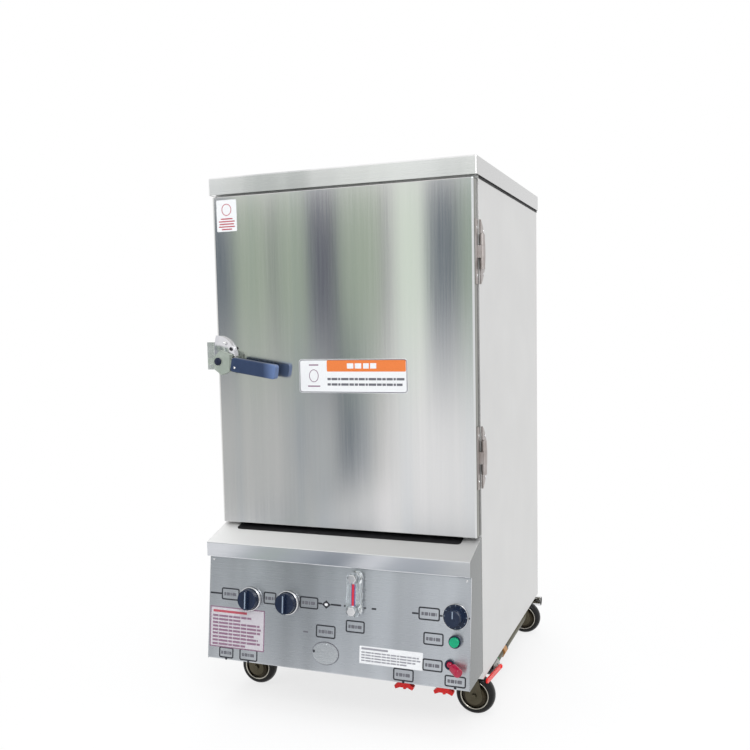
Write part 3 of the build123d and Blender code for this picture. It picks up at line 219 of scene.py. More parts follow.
def steel(name, base, roughness, grain, across, amount=0.6, smudge=0.05):
    """Brushed stainless steel: lines along one axis, faint smudges, reflections smeared along another."""
    finish = Finish(name, base, roughness, 1.0)
    lines = finish.grain(grain)
    blotch = finish.noise(EVEN, 7.0, 4.0)
    shade = finish.remap(lines, 0.96, 1.02)
    cloud = finish.remap(blotch, 1.0 - smudge, 1.0)
    finish.set("Base Color", finish.times(finish.times(base, shade), cloud))
    finish.set("Roughness", finish.maths("ADD", finish.remap(lines, -0.04, 0.04),
                                         finish.remap(blotch, roughness - 0.02, roughness + 0.04)))
    finish.smear([float(axis == across) for axis in "xyz"], amount)
    finish.bump(lines, 0.05, 0.0002)
    return finish.material


def panel_steel():
    """Satin control panel: soft upright streaks, partly uneven polishing and partly painted reflections; side
    faces darkened with painted shade.
    """
    base = (0.52, 0.54, 0.57)
    finish = Finish("panel_steel", base, 0.28, 1.0)
    # Painted reflection: the streaks of tone stand partly for reflections and partly for uneven polishing
    polish_and_painted_reflection = finish.remap(finish.noise((11.0, 1.0, 0.6), 1.0, 2.0), 0.84, 1.16)
    lines = finish.grain("x")
    tone = finish.times(finish.times(base, polish_and_painted_reflection), finish.remap(lines, 0.985, 1.005))
    # Painted shade darkens the side faces
    finish.set("Base Color", finish.mix(finish.sideways(), tone, CONSOLE_SIDE_SHADE))
    finish.set("Roughness", finish.remap(lines, 0.27, 0.29))
    finish.smear((0, 0, 1), 0.80)
    finish.bump(lines, 0.008, 0.0002)
    return finish.material


def hood_steel():
    """Console hood: dull pale slope with a painted light falloff across it, polished lip, end cheeks with
    painted shade.
    """
    finish = Finish("hood_steel", (0.66, 0.66, 0.67), 0.30, 1.0)
    lines = finish.grain("x")
    half = 0.36
    across = finish.remap(finish.part(finish.coordinates, "X"), 0.0, 1.0, -half, half)
    lip = finish.times((0.76, 0.77, 0.79), finish.remap(lines, 0.95, 1.02))
    # Painted light falloff: the slope's tone runs from lighter at its left end to darker at its right
    pale = finish.ramp(across, [(0.0, (0.78, 0.78, 0.77)), (0.5, (0.59, 0.59, 0.58)),
                                (1.0, (0.48, 0.48, 0.475))])
    slope = finish.times(pale, finish.remap(finish.noise((2, 8, 8), 1.0), 0.93, 1.0))
    rising = finish.remap(finish.part(finish.facing, "Z"), 0.0, 1.0, 0.5, 0.8)
    tone = finish.mix(rising, lip, slope)
    # Painted shade darkens the end cheeks
    finish.set("Base Color", finish.mix(finish.sideways(), tone, CONSOLE_SIDE_SHADE))
    finish.set("Metallic", finish.remap(rising, 1.0, 0.40, 0.0, 1.0))
    finish.set("Roughness", finish.remap(rising, 0.14, 0.48, 0.0, 1.0))
    finish.bump(lines, 0.06, 0.0002)
    return finish.material


def lid_steel():
    """Folded lid: bright brushed steel with soft upright bands, its two ends darkened with painted shade."""
    finish = Finish("lid_steel", (0.86, 0.86, 0.855), 0.24, 1.0)
    bands = finish.noise((7.0, 1.0, 0.2), 1.0, 2.0)
    tone = finish.ramp(bands, [(0.35, (0.68, 0.69, 0.69)), (0.5, (0.86, 0.86, 0.86)),
                               (0.65, (0.92, 0.92, 0.92))])
    lines = finish.grain("x")
    tone = finish.times(tone, finish.remap(lines, 0.96, 1.01))
    # Painted shade darkens the lid's two ends
    finish.set("Base Color", finish.mix(finish.sideways(), tone, (0.54, 0.54, 0.54)))
    finish.set("Roughness", finish.remap(lines, 0.22, 0.28))
    finish.smear((0, 0, 1), 0.5)
    finish.bump(lines, 0.04, 0.0002)
    return finish.material


def moulded(name, base, roughness, texture=0.15, coat=0.0):
    """Moulded plastic or enamel: slight colour drift, fine orange-peel bump, optional gloss coat."""
    finish = Finish(name, base, roughness)
    drift = finish.noise(EVEN, 40.0, 3.0)
    lighter = tuple(min(1.0, channel * 1.25 + 0.004) for channel in base)
    finish.set("Base Color", finish.mix(finish.remap(drift, 0.0, 1.0), base, lighter))
    finish.set("Roughness", finish.remap(drift, roughness - 0.05, roughness + 0.07))
    finish.set("Specular IOR Level", 0.25)
    finish.set("Coat Weight", coat)
    finish.set("Coat Roughness", 0.08)
    finish.bump(finish.noise(EVEN, 900.0, 2.0), texture, 0.0003)
    return finish.material


def grip_plastic():
    """Navy moulded grip, paler towards its far rounded end."""
    navy, paler, paler_end = (0.022, 0.040, 0.090), (0.030, 0.050, 0.110), (0.11, 0.17, 0.33)
    finish = Finish("navy_grip", navy, 0.36)
    end = finish.remap(finish.part(finish.coordinates, "X"), 0.0, 1.0, -0.188, -0.160)
    drift = finish.remap(finish.noise(EVEN, 60.0, 3.0), 0.0, 0.3)
    finish.set("Base Color", finish.mix(end, finish.mix(drift, navy, paler), paler_end))
    finish.set("Roughness", finish.remap(drift, 0.32, 0.42, 0.0, 0.3))
    finish.set("Specular IOR Level", 0.3)
    finish.bump(finish.noise(EVEN, 900.0, 2.0), 0.2, 0.0003)
    return finish.material


def cast(name, base, roughness, metallic, grit, scale, stain):
    """Cast or plated metal: grainy bump, and clouds of a second colour."""
    finish = Finish(name, base, roughness, metallic)
    cloud = finish.noise(EVEN, 30.0, 5.0)
    finish.set("Base Color", finish.mix(finish.remap(cloud, 0.0, 1.0), base, stain))
    finish.set("Roughness", finish.remap(cloud, roughness - 0.05, roughness + 0.08))
    finish.bump(finish.noise(EVEN, scale, 3.0), grit, 0.0004)
    return finish.material


def printed(name, colour, roughness=0.45):
    """Printing ink or label film with a slight mottle."""
    finish = Finish(name, colour, roughness)
    mottle = finish.noise(EVEN, 300.0, 2.0)
    darker = tuple(channel * 0.93 for channel in colour)
    finish.set("Base Color", finish.mix(finish.remap(mottle, 0.0, 1.0), colour, darker))
    finish.set("Roughness", finish.remap(mottle, roughness, roughness + 0.1))
    return finish.material


def door_steel():
    """Polished door steel: tall faint bands that are partly painted reflection, over a fine grain, slightly
    wavy; folded edges darkened with painted shade.
    """
    base = (0.72, 0.72, 0.71)
    finish = Finish("door_steel", base, 0.13, 1.0)
    # Painted reflection in part: the tall faint bands of tone stand partly for reflected bands
    bands = finish.noise((14.0, 0.4, 0.3), 1.0, 3.0)
    lines = finish.noise((500.0, 40.0, 5.0), 1.0, 2.0)
    tone = finish.ramp(bands, [(0.3, (0.66, 0.68, 0.69)), (0.5, base), (0.7, (0.78, 0.77, 0.76))])
    tone = finish.mix(0.08, tone, finish.remap(lines, 0.5, 1.0), "MULTIPLY")
    # Painted shade darkens the folded side edges
    finish.set("Base Color", finish.mix(finish.sideways(), tone, (0.17, 0.17, 0.15)))
    finish.set("Roughness", finish.remap(lines, 0.11, 0.14))
    finish.smear((0, 0, 1), 0.85)
    finish.bump(finish.noise((3.0, 1.0, 0.8), 1.0, 1.0), 0.25, 0.004)
    return finish.material


def gas_line():
    """Gas line: olive pipe, black joint, brass union and a nickelled valve with a green mark."""
    finish = Finish("gas_line", (0.11, 0.10, 0.035), 0.35, 0.3)
    black, nickel, green = (0.015, 0.015, 0.016), (0.42, 0.42, 0.40), (0.02, 0.24, 0.08)
    brass, olive = (0.55, 0.27, 0.08), (0.075, 0.066, 0.024)
    along = finish.maths("SUBTRACT", finish.part(finish.coordinates, "Y"), FRONT)
    place = finish.remap(along, 0.0, 1.0, 0.10, 0.35)
    stops = [(0.0, black), (0.135, black), (0.150, nickel), (0.36, nickel), (0.37, green), (0.42, green),
             (0.43, olive), (0.635, olive), (0.645, brass), (0.765, brass), (0.775, black), (0.82, black),
             (0.83, olive)]
    mottle = finish.noise(EVEN, 120.0, 4.0)
    tone = finish.mix(0.5, finish.ramp(place, stops), finish.remap(mottle, 0.55, 1.0), "MULTIPLY")
    finish.set("Base Color", tone)
    finish.set("Roughness", finish.remap(mottle, 0.28, 0.45))
    finish.set("Metallic", 0.6)
    finish.bump(mottle, 0.15, 0.0003)
    return finish.material


def clear_block():
    """Acrylic gauge block: clear, faintly scratched."""
    finish = Finish("clear_acrylic", (0.90, 0.93, 0.94), 0.05)
    finish.set("Transmission Weight", 0.93)
    finish.set("IOR", 1.40)
    finish.set("Roughness", finish.remap(finish.noise(EVEN, 200.0, 3.0), 0.02, 0.10))
    return finish.material


def wool():
    """Mineral wool: matted fibres."""
    finish = Finish("mineral_wool", (0.50, 0.44, 0.28), 0.95)
    fibres = finish.noise((60.0, 60.0, 400.0), 1.0, 6.0)
    finish.set("Base Color", finish.ramp(fibres, [(0.3, (0.34, 0.29, 0.17)), (0.7, (0.62, 0.56, 0.38))]))
    finish.bump(fibres, 0.6, 0.003)
    return finish.material


MATERIALS = {
    "door": door_steel(),
    "side": steel("side_steel", (0.70, 0.70, 0.695), 0.38, "z", "x", 0.3, smudge=0.06),
    "lid": lid_steel(),
    "hood": hood_steel(),
    "panel": panel_steel(),
    "back": steel("back_steel", (0.64, 0.64, 0.64), 0.40, "z", "x", 0.4),
    "inner": steel("inner_steel", (0.62, 0.62, 0.61), 0.33, "z", "x"),
    "tray": steel("tray_steel", (0.68, 0.68, 0.67), 0.25, "x", "z"),
    "flap": steel("flap_steel", (0.64, 0.66, 0.68), 0.26, "x", "z"),
    "zinc": cast("galvanised", (0.50, 0.52, 0.53), 0.42, 1.0, 0.15, 90.0, (0.62, 0.63, 0.64)),
    "latch": cast("latch_zinc", (0.34, 0.39, 0.34), 0.42, 0.5, 0.12, 500.0, (0.42, 0.46, 0.41)),
    "keeper": cast("keeper_zinc", (0.80, 0.82, 0.80), 0.22, 0.9, 0.35, 120.0, (0.46, 0.50, 0.47)),
    "fan": cast("fan_chrome", (0.74, 0.74, 0.76), 0.14, 1.0, 0.10, 300.0, (0.60, 0.60, 0.64)),
    "hinge": cast("hinge_zinc", (0.36, 0.32, 0.30), 0.40, 0.9, 0.15, 400.0, (0.46, 0.43, 0.42)),
    "chrome": cast("chrome", (0.82, 0.82, 0.82), 0.12, 1.0, 0.03, 200.0, (0.74, 0.74, 0.75)),
    "plated": cast("dark_plating", (0.060, 0.052, 0.032), 0.36, 0.8, 0.15, 300.0, (0.10, 0.088, 0.06)),
    "rim": cast("rim_plating", (0.52, 0.50, 0.44), 0.22, 1.0, 0.10, 300.0, (0.40, 0.38, 0.33)),
    "navy": grip_plastic(),
    "plug": moulded("plug_plastic", (0.008, 0.012, 0.030), 0.4, 0.1),
    "black": moulded("black_plastic", (0.007, 0.015, 0.038), 0.26, 0.08, 0.15),
    "matt_black": moulded("matt_black", (0.006, 0.006, 0.007), 0.6, 0.3),
    "green": moulded("green_button", (0.0, 0.31, 0.15), 0.25, 0.05, 0.2),
    "red": moulded("red_plastic", (0.68, 0.010, 0.008), 0.30, 0.2, 0.1),
    "crimson": moulded("crimson_cap", (0.33, 0.003, 0.035), 0.14, 0.05, 0.4),
    "vermilion": moulded("vermilion_lever", (0.70, 0.010, 0.005), 0.32, 0.2, 0.1),
    "silicone": moulded("grey_silicone", (0.36, 0.36, 0.35), 0.6, 0.3),
    "tyre": moulded("tyre_rubber", (0.004, 0.004, 0.004), 0.34, 0.2),
    "hub": cast("bronze_hub", (0.050, 0.038, 0.018), 0.35, 0.6, 0.3, 150.0, (0.022, 0.017, 0.009)),
    "iron": cast("cast_iron", (0.045, 0.043, 0.042), 0.65, 0.6, 0.8, 250.0, (0.09, 0.05, 0.035)),
    "brass": cast("brass", (0.60, 0.40, 0.14), 0.28, 1.0, 0.12, 300.0, (0.50, 0.33, 0.12)),
    "dull_brass": cast("dull_brass", (0.20, 0.13, 0.06), 0.40, 0.8, 0.15, 300.0, (0.12, 0.08, 0.04)),
    "gas": gas_line(),
    "clear": clear_block(),
    "wool": wool(),
    "white": printed("label_white", (0.80, 0.81, 0.82)),
    "lilac": printed("label_lilac", (0.56, 0.53, 0.565)),
    "ink": printed("ink_black", (0.012, 0.013, 0.020)),
    "grey_ink": printed("ink_grey", (0.13, 0.13, 0.15)),
    "pale_ink": printed("ink_pale_grey", (0.30, 0.30, 0.33)),
    "pointer": printed("pointer_grey", (0.26, 0.32, 0.40)),
    "orange": printed("ink_orange", (0.76, 0.19, 0.035)),
    "mauve": printed("ink_mauve", (0.25, 0.14, 0.21)),
    "pale_red": printed("ink_red", (0.45, 0.07, 0.10)),
    "gauge_red": printed("gauge_red", (0.62, 0.01, 0.04), 0.3),
    "gauge_blue": printed("gauge_blue", (0.03, 0.06, 0.26), 0.3),
}

NODE_LOOKS = {
    "door": ["door_skin"],
    "side": ["left_side_panel", "right_side_panel", "door_surround"],
    "lid": ["top_cover"],
    "hood": ["console_hood"],
    "panel": ["control_panel"],
    "back": ["rear_panel", "base_frame", "door_inner_pan"],
    "inner": ["chamber_liner", "tray_racks", "boiler_tank", "feed_tank"],
    "tray": [f"tray_{number}" for number in range(1, 9)],
    "flap": ["access_flap"],
    "zinc": ["firebox", "flue_duct"],
    "latch": ["latch_hub"],
    "keeper": ["latch_keeper"],
    "fan": ["latch_base"],
    "hinge": ["frame_hinges", "door_hinges"],
    "chrome": ["gauge_bolts", "outlet_pipe"],
    "plated": ["caster_plates"] + [f"caster_{corner}_fork" for corner in CORNERS],
    "navy": ["latch_grip"],
    "black": ["left_burner_knob", "right_burner_knob", "timer_knob", "control_bodies"],
    "matt_black": ["igniter_module"],
    "green": ["push_button"],
    "crimson": ["switch_lever"],
    "red": ["left_drain_handle", "right_drain_handle"],
    "vermilion": ["gas_valve_lever"],
    "silicone": ["door_gasket"],
    "iron": ["burners"],
    "brass": ["gas_manifold"],
    "dull_brass": ["drain_pipes"],
    "gas": ["gas_supply_line"],
    "clear": ["gauge_glass"],
    "wool": ["insulation", "door_core"],
}
for look, names in NODE_LOOKS.items():
    for name in names:
        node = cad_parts[name]
        node.data.materials.clear()
        node.data.materials.append(MATERIALS[look])


# Surfaces


def axes(normal, up=UP):
    """Right, up and outward unit vectors of the plane with this normal."""
    normal = np.array(normal, float) / np.linalg.norm(normal)
    if abs(normal @ up) > 0.95:
        up = np.array((0.0, 1.0, 0.0))
    right = np.cross(up, normal)
    right /= np.linalg.norm(right)
    return right, np.cross(normal, right), normal


def weave(layers, wrap=False):
    """Points and faces of a grid whose rows close on themselves.

    Quads join each row to the next. With wrap the last row joins the first; otherwise the two
    end rows are closed by a flat face.
    """
    rows, columns = layers.shape[:2]
    row, column = np.meshgrid(np.arange(rows if wrap else rows - 1), np.arange(columns), indexing="ij")
    after, above = (column + 1) % columns, (row + 1) % rows
    quads = np.stack([row * columns + column, row * columns + after,
                      above * columns + after, above * columns + column], -1)
    faces = quads.reshape(-1, 4).tolist()
    if not wrap:
        faces += [list(range(columns))[::-1], list(range((rows - 1) * columns, rows * columns))]
    return layers.reshape(-1, 3), faces


def joined(parts):
    """One set of points and faces from several."""
    starts = np.cumsum([0] + [len(points) for points, _ in parts])
    faces = [[int(start) + index for index in face]
             for start, (_, some) in zip(starts, parts) for face in some]
    return np.concatenate([points for points, _ in parts]), faces


def piece(name, surface, look, body, smooth=True):
    """Mesh object with the given points and faces, in its material, riding on a body."""
    points, faces = surface
    mesh = bpy.data.meshes.new(name)
    mesh.from_pydata(points.tolist(), [], faces)
    mesh.polygons.foreach_set("use_smooth", [smooth] * len(faces))
    mesh.materials.append(MATERIALS[look])
    mesh.validate()
    item = bpy.data.objects.new(name, mesh)
    bpy.context.scene.collection.objects.link(item)
    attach(item, body)
    return item


def turned(profile, origin, axis, sides, wrap=False):
    """Surface of revolution: p(i, a) = origin + r_i (cos a right + sin a up) + h_i out."""
    right, up, out = axes(axis)
    radius, height = np.array(profile, float).T
    angle = np.linspace(0, 2 * np.pi, sides, endpoint=False)[:, None]
    ring = np.cos(angle) * right + np.sin(angle) * up
    return weave(origin + radius[:, None, None] * ring + height[:, None, None] * out, wrap)


def rounded(width, height, radius):
    """Outline of a rounded rectangle, counter-clockwise: corner centre + r (cos a, sin a)."""
    radius = min(radius, width / 2, height / 2)
    angle = np.radians(np.array((0, 90, 180, 270))[:, None] + np.linspace(0, 90, 6))
    side = np.array(((1, 1), (-1, 1), (-1, -1), (1, -1)))
    x = side[:, :1] * (width / 2 - radius) + radius * np.cos(angle)
    y = side[:, 1:] * (height / 2 - radius) + radius * np.sin(angle)
    return np.stack([x.ravel(), y.ravel()], -1)


def oval(width, height, sides=64):
    """Outline of an ellipse: (w/2 cos a, h/2 sin a)."""
    angle = np.linspace(0, 2 * np.pi, sides, endpoint=False)
    return np.stack([width / 2 * np.cos(angle), height / 2 * np.sin(angle)], -1)


def layered(outlines, heights, origin, normal, up=UP, wrap=False):
    """Outlines of equal count stacked at their heights: p = origin + x right + y up + h out."""
    right, rise, out = axes(normal, up)
    flat = np.array(outlines, float)
    lift = np.array(heights, float)[:, None, None] * out
    return weave(origin + flat[..., :1] * right + flat[..., 1:] * rise + lift, wrap)


def film(outline, origin, normal, thickness=0.0002, up=UP):
    """Thin raised patch with this outline."""
    return layered([outline, outline], [0, thickness], origin, normal, up)


def frame_line(outer, inner, origin, normal, thickness, up=UP):
    """Thin raised line between two outlines, closed underneath."""
    return layered([outer, outer, inner, inner], [0, thickness, thickness, 0], origin, normal, up, True)


def screw_head(origin, normal, radius, height, turn=0.0):
    """Pan-head screw: height h(r) = H (1 - (r/R)^4)^0.5, sunk by 0.55 H along a cross."""
    right, rise, out = axes(normal)
    share = np.linspace(1, 0.02, 8)[:, None]
    angle = np.linspace(0, 2 * np.pi, 32, endpoint=False) + turn
    x, y = radius * share * np.cos(angle), radius * share * np.sin(angle)
    lift = height * np.sqrt(np.clip(1 - share ** 4, 0, 1)) + 0 * x
    along, across = x * math.cos(turn) + y * math.sin(turn), y * math.cos(turn) - x * math.sin(turn)
    sunk = (np.minimum(abs(along), abs(across)) < 0.16 * radius) & (np.hypot(x, y) < 0.62 * radius)
    lift -= sunk * 0.55 * height
    return weave(origin + x[..., None] * right + y[..., None] * rise + lift[..., None] * out)


# Printed marks
#
# LABELS: x, drop, width and height of each box. MAIN_LINE: the two ends of each stretch of the line
# that joins them. Both in millimetres.

LABELS = [
    (-287.0, 93.7, 52.0, 31.0), (-173.5, 94.1, 36.0, 31.0), (-64.8, 95.5, 51.0, 30.0),
    (-17.8, 162.0, 53.0, 32.0), (60.3, 142.0, 50.0, 30.0), (247.3, 92.6, 53.0, 31.0),
    (259.0, 150.4, 50.0, 30.0), (258.0, 212.0, 50.0, 29.0), (186.4, 243.0, 52.0, 30.0),
    (314.0, 243.0, 52.0, 27.0), (-295.6, 244.3, 42.0, 28.0), (-231.2, 243.6, 52.0, 30.0),
]
MAIN_LINE = ((-346.0, -313.0), (-39.0, -29.0), (-6.0, 22.0), (29.5, 37.0), (82.0, 88.0), (102.0, 114.0),
             (205.0, 220.5), (274.0, 281.0), (343.5, 346.5))


def panel_film(outline, x, drop, stand=0.0):
    """Thin patch with this outline on the control panel."""
    return film(outline, panel_point(x, drop, stand), PANEL_OUT, up=PANEL_UP)


def panel_line(outer, inner, x, drop, stand=0.0, thickness=0.0002):
    """Thin line between two outlines on the control panel."""
    return frame_line(outer, inner, panel_point(x, drop, stand), PANEL_OUT, thickness, PANEL_UP)


def patch(x, drop, width, height, radius=0.5, stand=0.0):
    """Rounded patch on the control panel, in millimetres."""
    outline = rounded(width / 1000, height / 1000, radius / 1000)
    return panel_film(outline, x / 1000, drop / 1000, stand / 1000)


def dashes(start, length, words=(6.0, 9.0, 4.0, 11.0, 7.0), gap=1.6):
    """Centres and lengths of uneven bars that fill a line, in place of words."""
    ends, place, number = [], start, 0
    while place < start + length - gap:
        long = min(words[number % len(words)], start + length - place)
        ends.append((place + long / 2, long))
        place += long + gap
        number += 1
    return ends


def panel_marks():
    """Label boxes with plain bars, the line that joins them, dots and the small lozenge."""
    ink, bars = [], []
    border = 0.0034
    for x, drop, width, height in LABELS:
        outer = rounded(width / 1000, height / 1000, 0.005)
        inner = rounded(width / 1000 - 2 * border, height / 1000 - 2 * border, 0.0022)
        ink.append(panel_line(outer, inner, x / 1000, drop / 1000))
        bars += [patch(x + start, drop + 0.5, long, 8.0, 1.2)
                 for start, long in dashes(-0.36 * width, 0.72 * width)]
    for low, high in MAIN_LINE:
        ink.append(patch((low + high) / 2, 94.2, high - low, 4.2))
    for x, drop in ((-295.6, 260.3), (-231.2, 260.6), (186.4, 260.0), (314.0, 258.6)):
        ink.append(patch(x, drop, 6.5, 5.0, 2.4))
    diamond = np.array(((0.0120, 0.0), (0.0, 0.0105), (-0.0120, 0.0), (0.0, -0.0105)))
    ink.append(panel_film(diamond, -0.0177, 0.0955))
    bars.append(patch(-72.2, 167.8, 14.0, 4.0, 1.6))
    piece("panel_ink", joined(ink), "ink", "cabinet", False)
    piece("panel_lozenge_centre", patch(-17.7, 95.5, 9.0, 6.5, 3.2, 0.3), "white", "cabinet", False)
    piece("panel_label_bars", joined(bars), "grey_ink", "cabinet", False)


def panel_stickers():
    """Two paper labels on the panel, with plain bars in place of text."""
    piece("left_sticker", patch(-265.9, 179.7, 158.0, 104.0, 1.0), "lilac", "cabinet", False)
    edge = panel_line(rounded(0.158, 0.104, 0.001), rounded(0.1528, 0.0988, 0.001),
                      -0.2659, 0.1797, 0.0002, 0.0003)
    piece("left_sticker_edge", edge, "mauve", "cabinet", False)
    lengths = (112.0, 84.0, 136.0, 140.0, 138.0, 120.0, 132.0, 138.0, 96.0)
    rows = [patch(x, 151.5 + row * 9.0, long, 5.2, 0.8, 0.2) for row, length in enumerate(lengths)
            for x, long in dashes(-337.0, length, (16.0, 27.0, 11.0, 21.0), 1.8)]
    piece("left_sticker_rows", joined(rows), "mauve", "cabinet", False)
    piece("left_sticker_heading", patch(-287.0, 139.5, 98.0, 6.0, 0.5, 0.2), "pale_red", "cabinet", False)
    piece("strip_label", patch(153.4, 206.7, 161.0, 42.0, 1.0), "white", "cabinet", False)
    rows = [patch(x, 200.5 + row * 6.6, long, 3.4, 0.6, 0.2)
            for row, length in enumerate((146.0, 150.0, 138.0, 118.0))
            for x, long in dashes(78.0, length, (9.0, 14.0, 6.0, 17.0, 11.0))]
    rows.append(patch(112.0, 191.6, 68.0, 4.8, 0.5, 0.2))
    piece("strip_label_rows", joined(rows), "pale_ink", "cabinet", False)


def notice_plate():
    """Notice plate on the door: orange band, plain bars and a plain ring, without lettering."""
    centre = spot(0.0340, -0.0300, 0.8535)
    piece("notice_plate", film(rounded(0.289, 0.084, 0.008), centre, OUT, 0.0005), "white", "door", False)
    rim = frame_line(rounded(0.287, 0.082, 0.008), rounded(0.2832, 0.0782, 0.006), centre, OUT, 0.0007)
    piece("notice_edge", rim, "grey_ink", "door", False)
    face, band_height, sign_x = -0.0305, 0.8785, -0.070
    band = film(rounded(0.208, 0.028, 0.003), spot(0.0700, face, band_height), OUT)
    piece("notice_band", band, "orange", "door", False)
    bars = [film(rounded(length, 0.0130, 0.001), spot(x, -0.0307, band_height), OUT)
            for x, length in ((0.029, 0.017), (0.050, 0.017), (0.071, 0.015), (0.090, 0.016))]
    piece("notice_band_bars", joined(bars), "white", "door", False)
    rows = [film(rounded(long / 1000, 0.0058, 0.0010), spot(x / 1000, face, z), OUT)
            for z, length in ((0.8460, 204.0), (0.8325, 198.0))
            for x, long in dashes(-33.0, length, (9.0, 16.0, 6.0, 20.0, 12.0), 2.0)]
    piece("notice_rows", joined(rows), "grey_ink", "door", False)
    signs = [film(rounded(long, 0.0032, 0.001), spot(sign_x, face, z), OUT)
             for z, long in ((0.8810, 0.026), (0.8280, 0.034))]
    place = spot(sign_x, face, 0.8540)
    signs.append(frame_line(oval(0.026, 0.032, 40), oval(0.0225, 0.0285, 40), place, OUT, 0.0003))
    piece("notice_sign", joined(signs), "mauve", "door", False)


def corner_label():
    """Small label in the door's upper left corner: plain bars under a plain ring."""
    x, face = -0.3040, -0.0303
    label = film(rounded(0.058, 0.080, 0.003), spot(x, -0.0300, 1.2640), OUT, 0.0003)
    piece("corner_label", label, "white", "door", False)
    rows = [film(rounded(length, 0.0030, 0.0005), spot(x, face, 1.2560 - 0.0066 * row), OUT)
            for row, length in enumerate((0.034, 0.046, 0.042, 0.046, 0.030))]
    place = spot(x, face, 1.2790)
    rows.append(frame_line(oval(0.028, 0.030, 40), oval(0.0245, 0.0265, 40), place, OUT, 0.0003))
    piece("corner_label_rows", joined(rows), "pale_red", "door", False)


# Fittings


def knob_rings():
    """Bright rings and pale pointer lines of the burner knobs and the timer, and its dial's ticks."""
    profile = [(0.0270, 0.0080), (0.0303, 0.0012), (0.0303, 0.0060), (0.0292, 0.0086), (0.0276, 0.0092)]
    for side, x in (("left", -0.228), ("right", -0.122)):
        ring = turned(profile, panel_point(x, 0.100), PANEL_OUT, 72, True)
        piece(f"{side}_knob_ring", ring, "chrome", f"{side}_burner_knob")
        mark = panel_film(rounded(0.0030, 0.0420, 0.001), x, 0.100, 0.0320)
        piece(f"{side}_knob_pointer", mark, "pointer", f"{side}_burner_knob", False)
    profile = [(0.0290, 0.0030), (0.0311, 0.0006), (0.0309, 0.0032), (0.0300, 0.0038)]
    piece("timer_ring", turned(profile, panel_point(*TIMER), PANEL_OUT, 72, True), "chrome", "cabinet")
    (x, drop), reach = TIMER, 0.0268
    ticks = [film(rounded(0.0011, 0.0036, 0.0002),
                  panel_point(x + reach * math.sin(a), drop - reach * math.cos(a), 0.0031), PANEL_OUT,
                  0.0002, PANEL_UP * math.cos(a) + RIGHT * math.sin(a))
             for a in np.radians(np.arange(0, 360, 30))]
    piece("timer_ticks", joined(ticks), "pointer", "cabinet", False)
    line = panel_film(rounded(0.0026, 0.0170, 0.0008), x, 0.084, 0.0301)
    piece("timer_pointer", line, "pointer", "timer_knob", False)


def gauge_insert():
    """Sight strip on the front of the gauge block: red level between blue borders on white."""
    back, face = 22.1, 22.4
    piece("gauge_back", patch(62.5, 61.5, 11.0, 56.0, 2.0, back), "white", "cabinet", False)
    piece("gauge_red_stripe", patch(61.8, 61.0, 6.2, 52.0, 0.5, face), "gauge_red", "cabinet", False)
    blue = [patch(x, 61.5, width, 55.0, 0.5, face) for x, width in ((66.6, 2.6), (57.8, 1.4))]
    piece("gauge_blue_stripes", joined(blue), "gauge_blue", "cabinet", False)


def flap_details():
    """Dark shadow line round the lighting flap, its bright rim and its dark notch."""
    ring = panel_line(oval(0.0732, 0.0572), oval(0.0702, 0.0542), *FLAP)
    piece("flap_shadow_line", ring, "grey_ink", "cabinet", False)
    rim = panel_line(oval(0.0698, 0.0538), oval(0.0670, 0.0510), *FLAP, 0.0023, 0.0003)
    piece("flap_rim", rim, "chrome", "access_flap", False)
    notch = panel_film(oval(0.0060, 0.0075, 24), -0.0475, 0.2120, 0.0024)
    piece("flap_notch", notch, "ink", "access_flap", False)


def slot_opening_shade():
    """Black films below the lips of the drip slot and round them: painted shade of the slot's opening."""
    outline = rounded(0.599, 0.0204, 0.0102)
    # Painted shade: a matt black film fills the slot's opening
    opening_shade = film(outline, slope_point(0.0, 0.0165, -0.0016), SLOPE_OUT, 0.0010)
    piece("slot_opening_shade", opening_shade, "matt_black", "cabinet", False)
    # Painted shade: a black line round the lips widens the slot's dark bar
    rim_shade = frame_line(rounded(0.609, 0.0390, 0.0102), outline + (-0.003, 0.0060),
                      slope_point(0.003, 0.0222, 0.0001), SLOPE_OUT, 0.0006)
    piece("slot_rim_shade", rim_shade, "matt_black", "cabinet", False)


def screws():
    """Visible screws on hinges, latch, panel, cabinet back and keeper."""
    heads = [screw_head(spot(0.354, 0.024, centre + height), RIGHT, 0.0042, 0.0016, height * 20)
             for centre in HINGES for height in (-0.050, -0.022, 0.022, 0.050)]
    heads += [screw_head(spot(-0.353, 0.022, 0.906 + height), -RIGHT, 0.0042, 0.0018)
              for height in (-0.024, 0.024)]
    heads += [screw_head(panel_point(x, 0.008), PANEL_OUT, 0.0030, 0.0014) for x in (-0.338, 0.338)]
    rear = [(x, z) for x in (-0.335, -0.168, 0.0, 0.168, 0.335) for z in (0.130, 1.298)]
    rear += [(x, z) for x in (-0.335, 0.335) for z in (0.40, 0.70, 1.0)]
    heads += [screw_head(np.array((x, BACK, z)), -OUT, 0.0042, 0.0018, x + z) for x, z in rear]
    piece("cabinet_screws", joined(heads), "chrome", "cabinet")
    hinge = [screw_head(spot(0.349, -0.017, centre + height), RIGHT, 0.0036, 0.0014, height * 9)
             for centre in HINGES for height in (-0.055, 0.055)]
    hinge.append(screw_head(spot(-0.3120, -0.0472, 0.9400), OUT, 0.0046, 0.0024, 0.5))
    piece("door_screws", joined(hinge), "chrome", "door")
    piece("fan_screw", screw_head(spot(-0.2960, -0.0460, 0.9240), OUT, 0.0046, 0.0020, 1.0), "ink", "door")


def latch_details():
    """Dark pivot plug on the hub and the small grip screw."""
    profile = [(0.0098, 0.0), (0.0096, 0.0016), (0.0080, 0.0026), (0.0010, 0.0028)]
    piece("pivot_plug", turned(profile, spot(-0.317, -0.0775, 0.893), OUT, 40), "plug", "latch")
    piece("grip_screw", screw_head(spot(-0.268, -0.0791, 0.877), OUT, 0.0032, 0.0012, 0.4), "chrome", "latch")


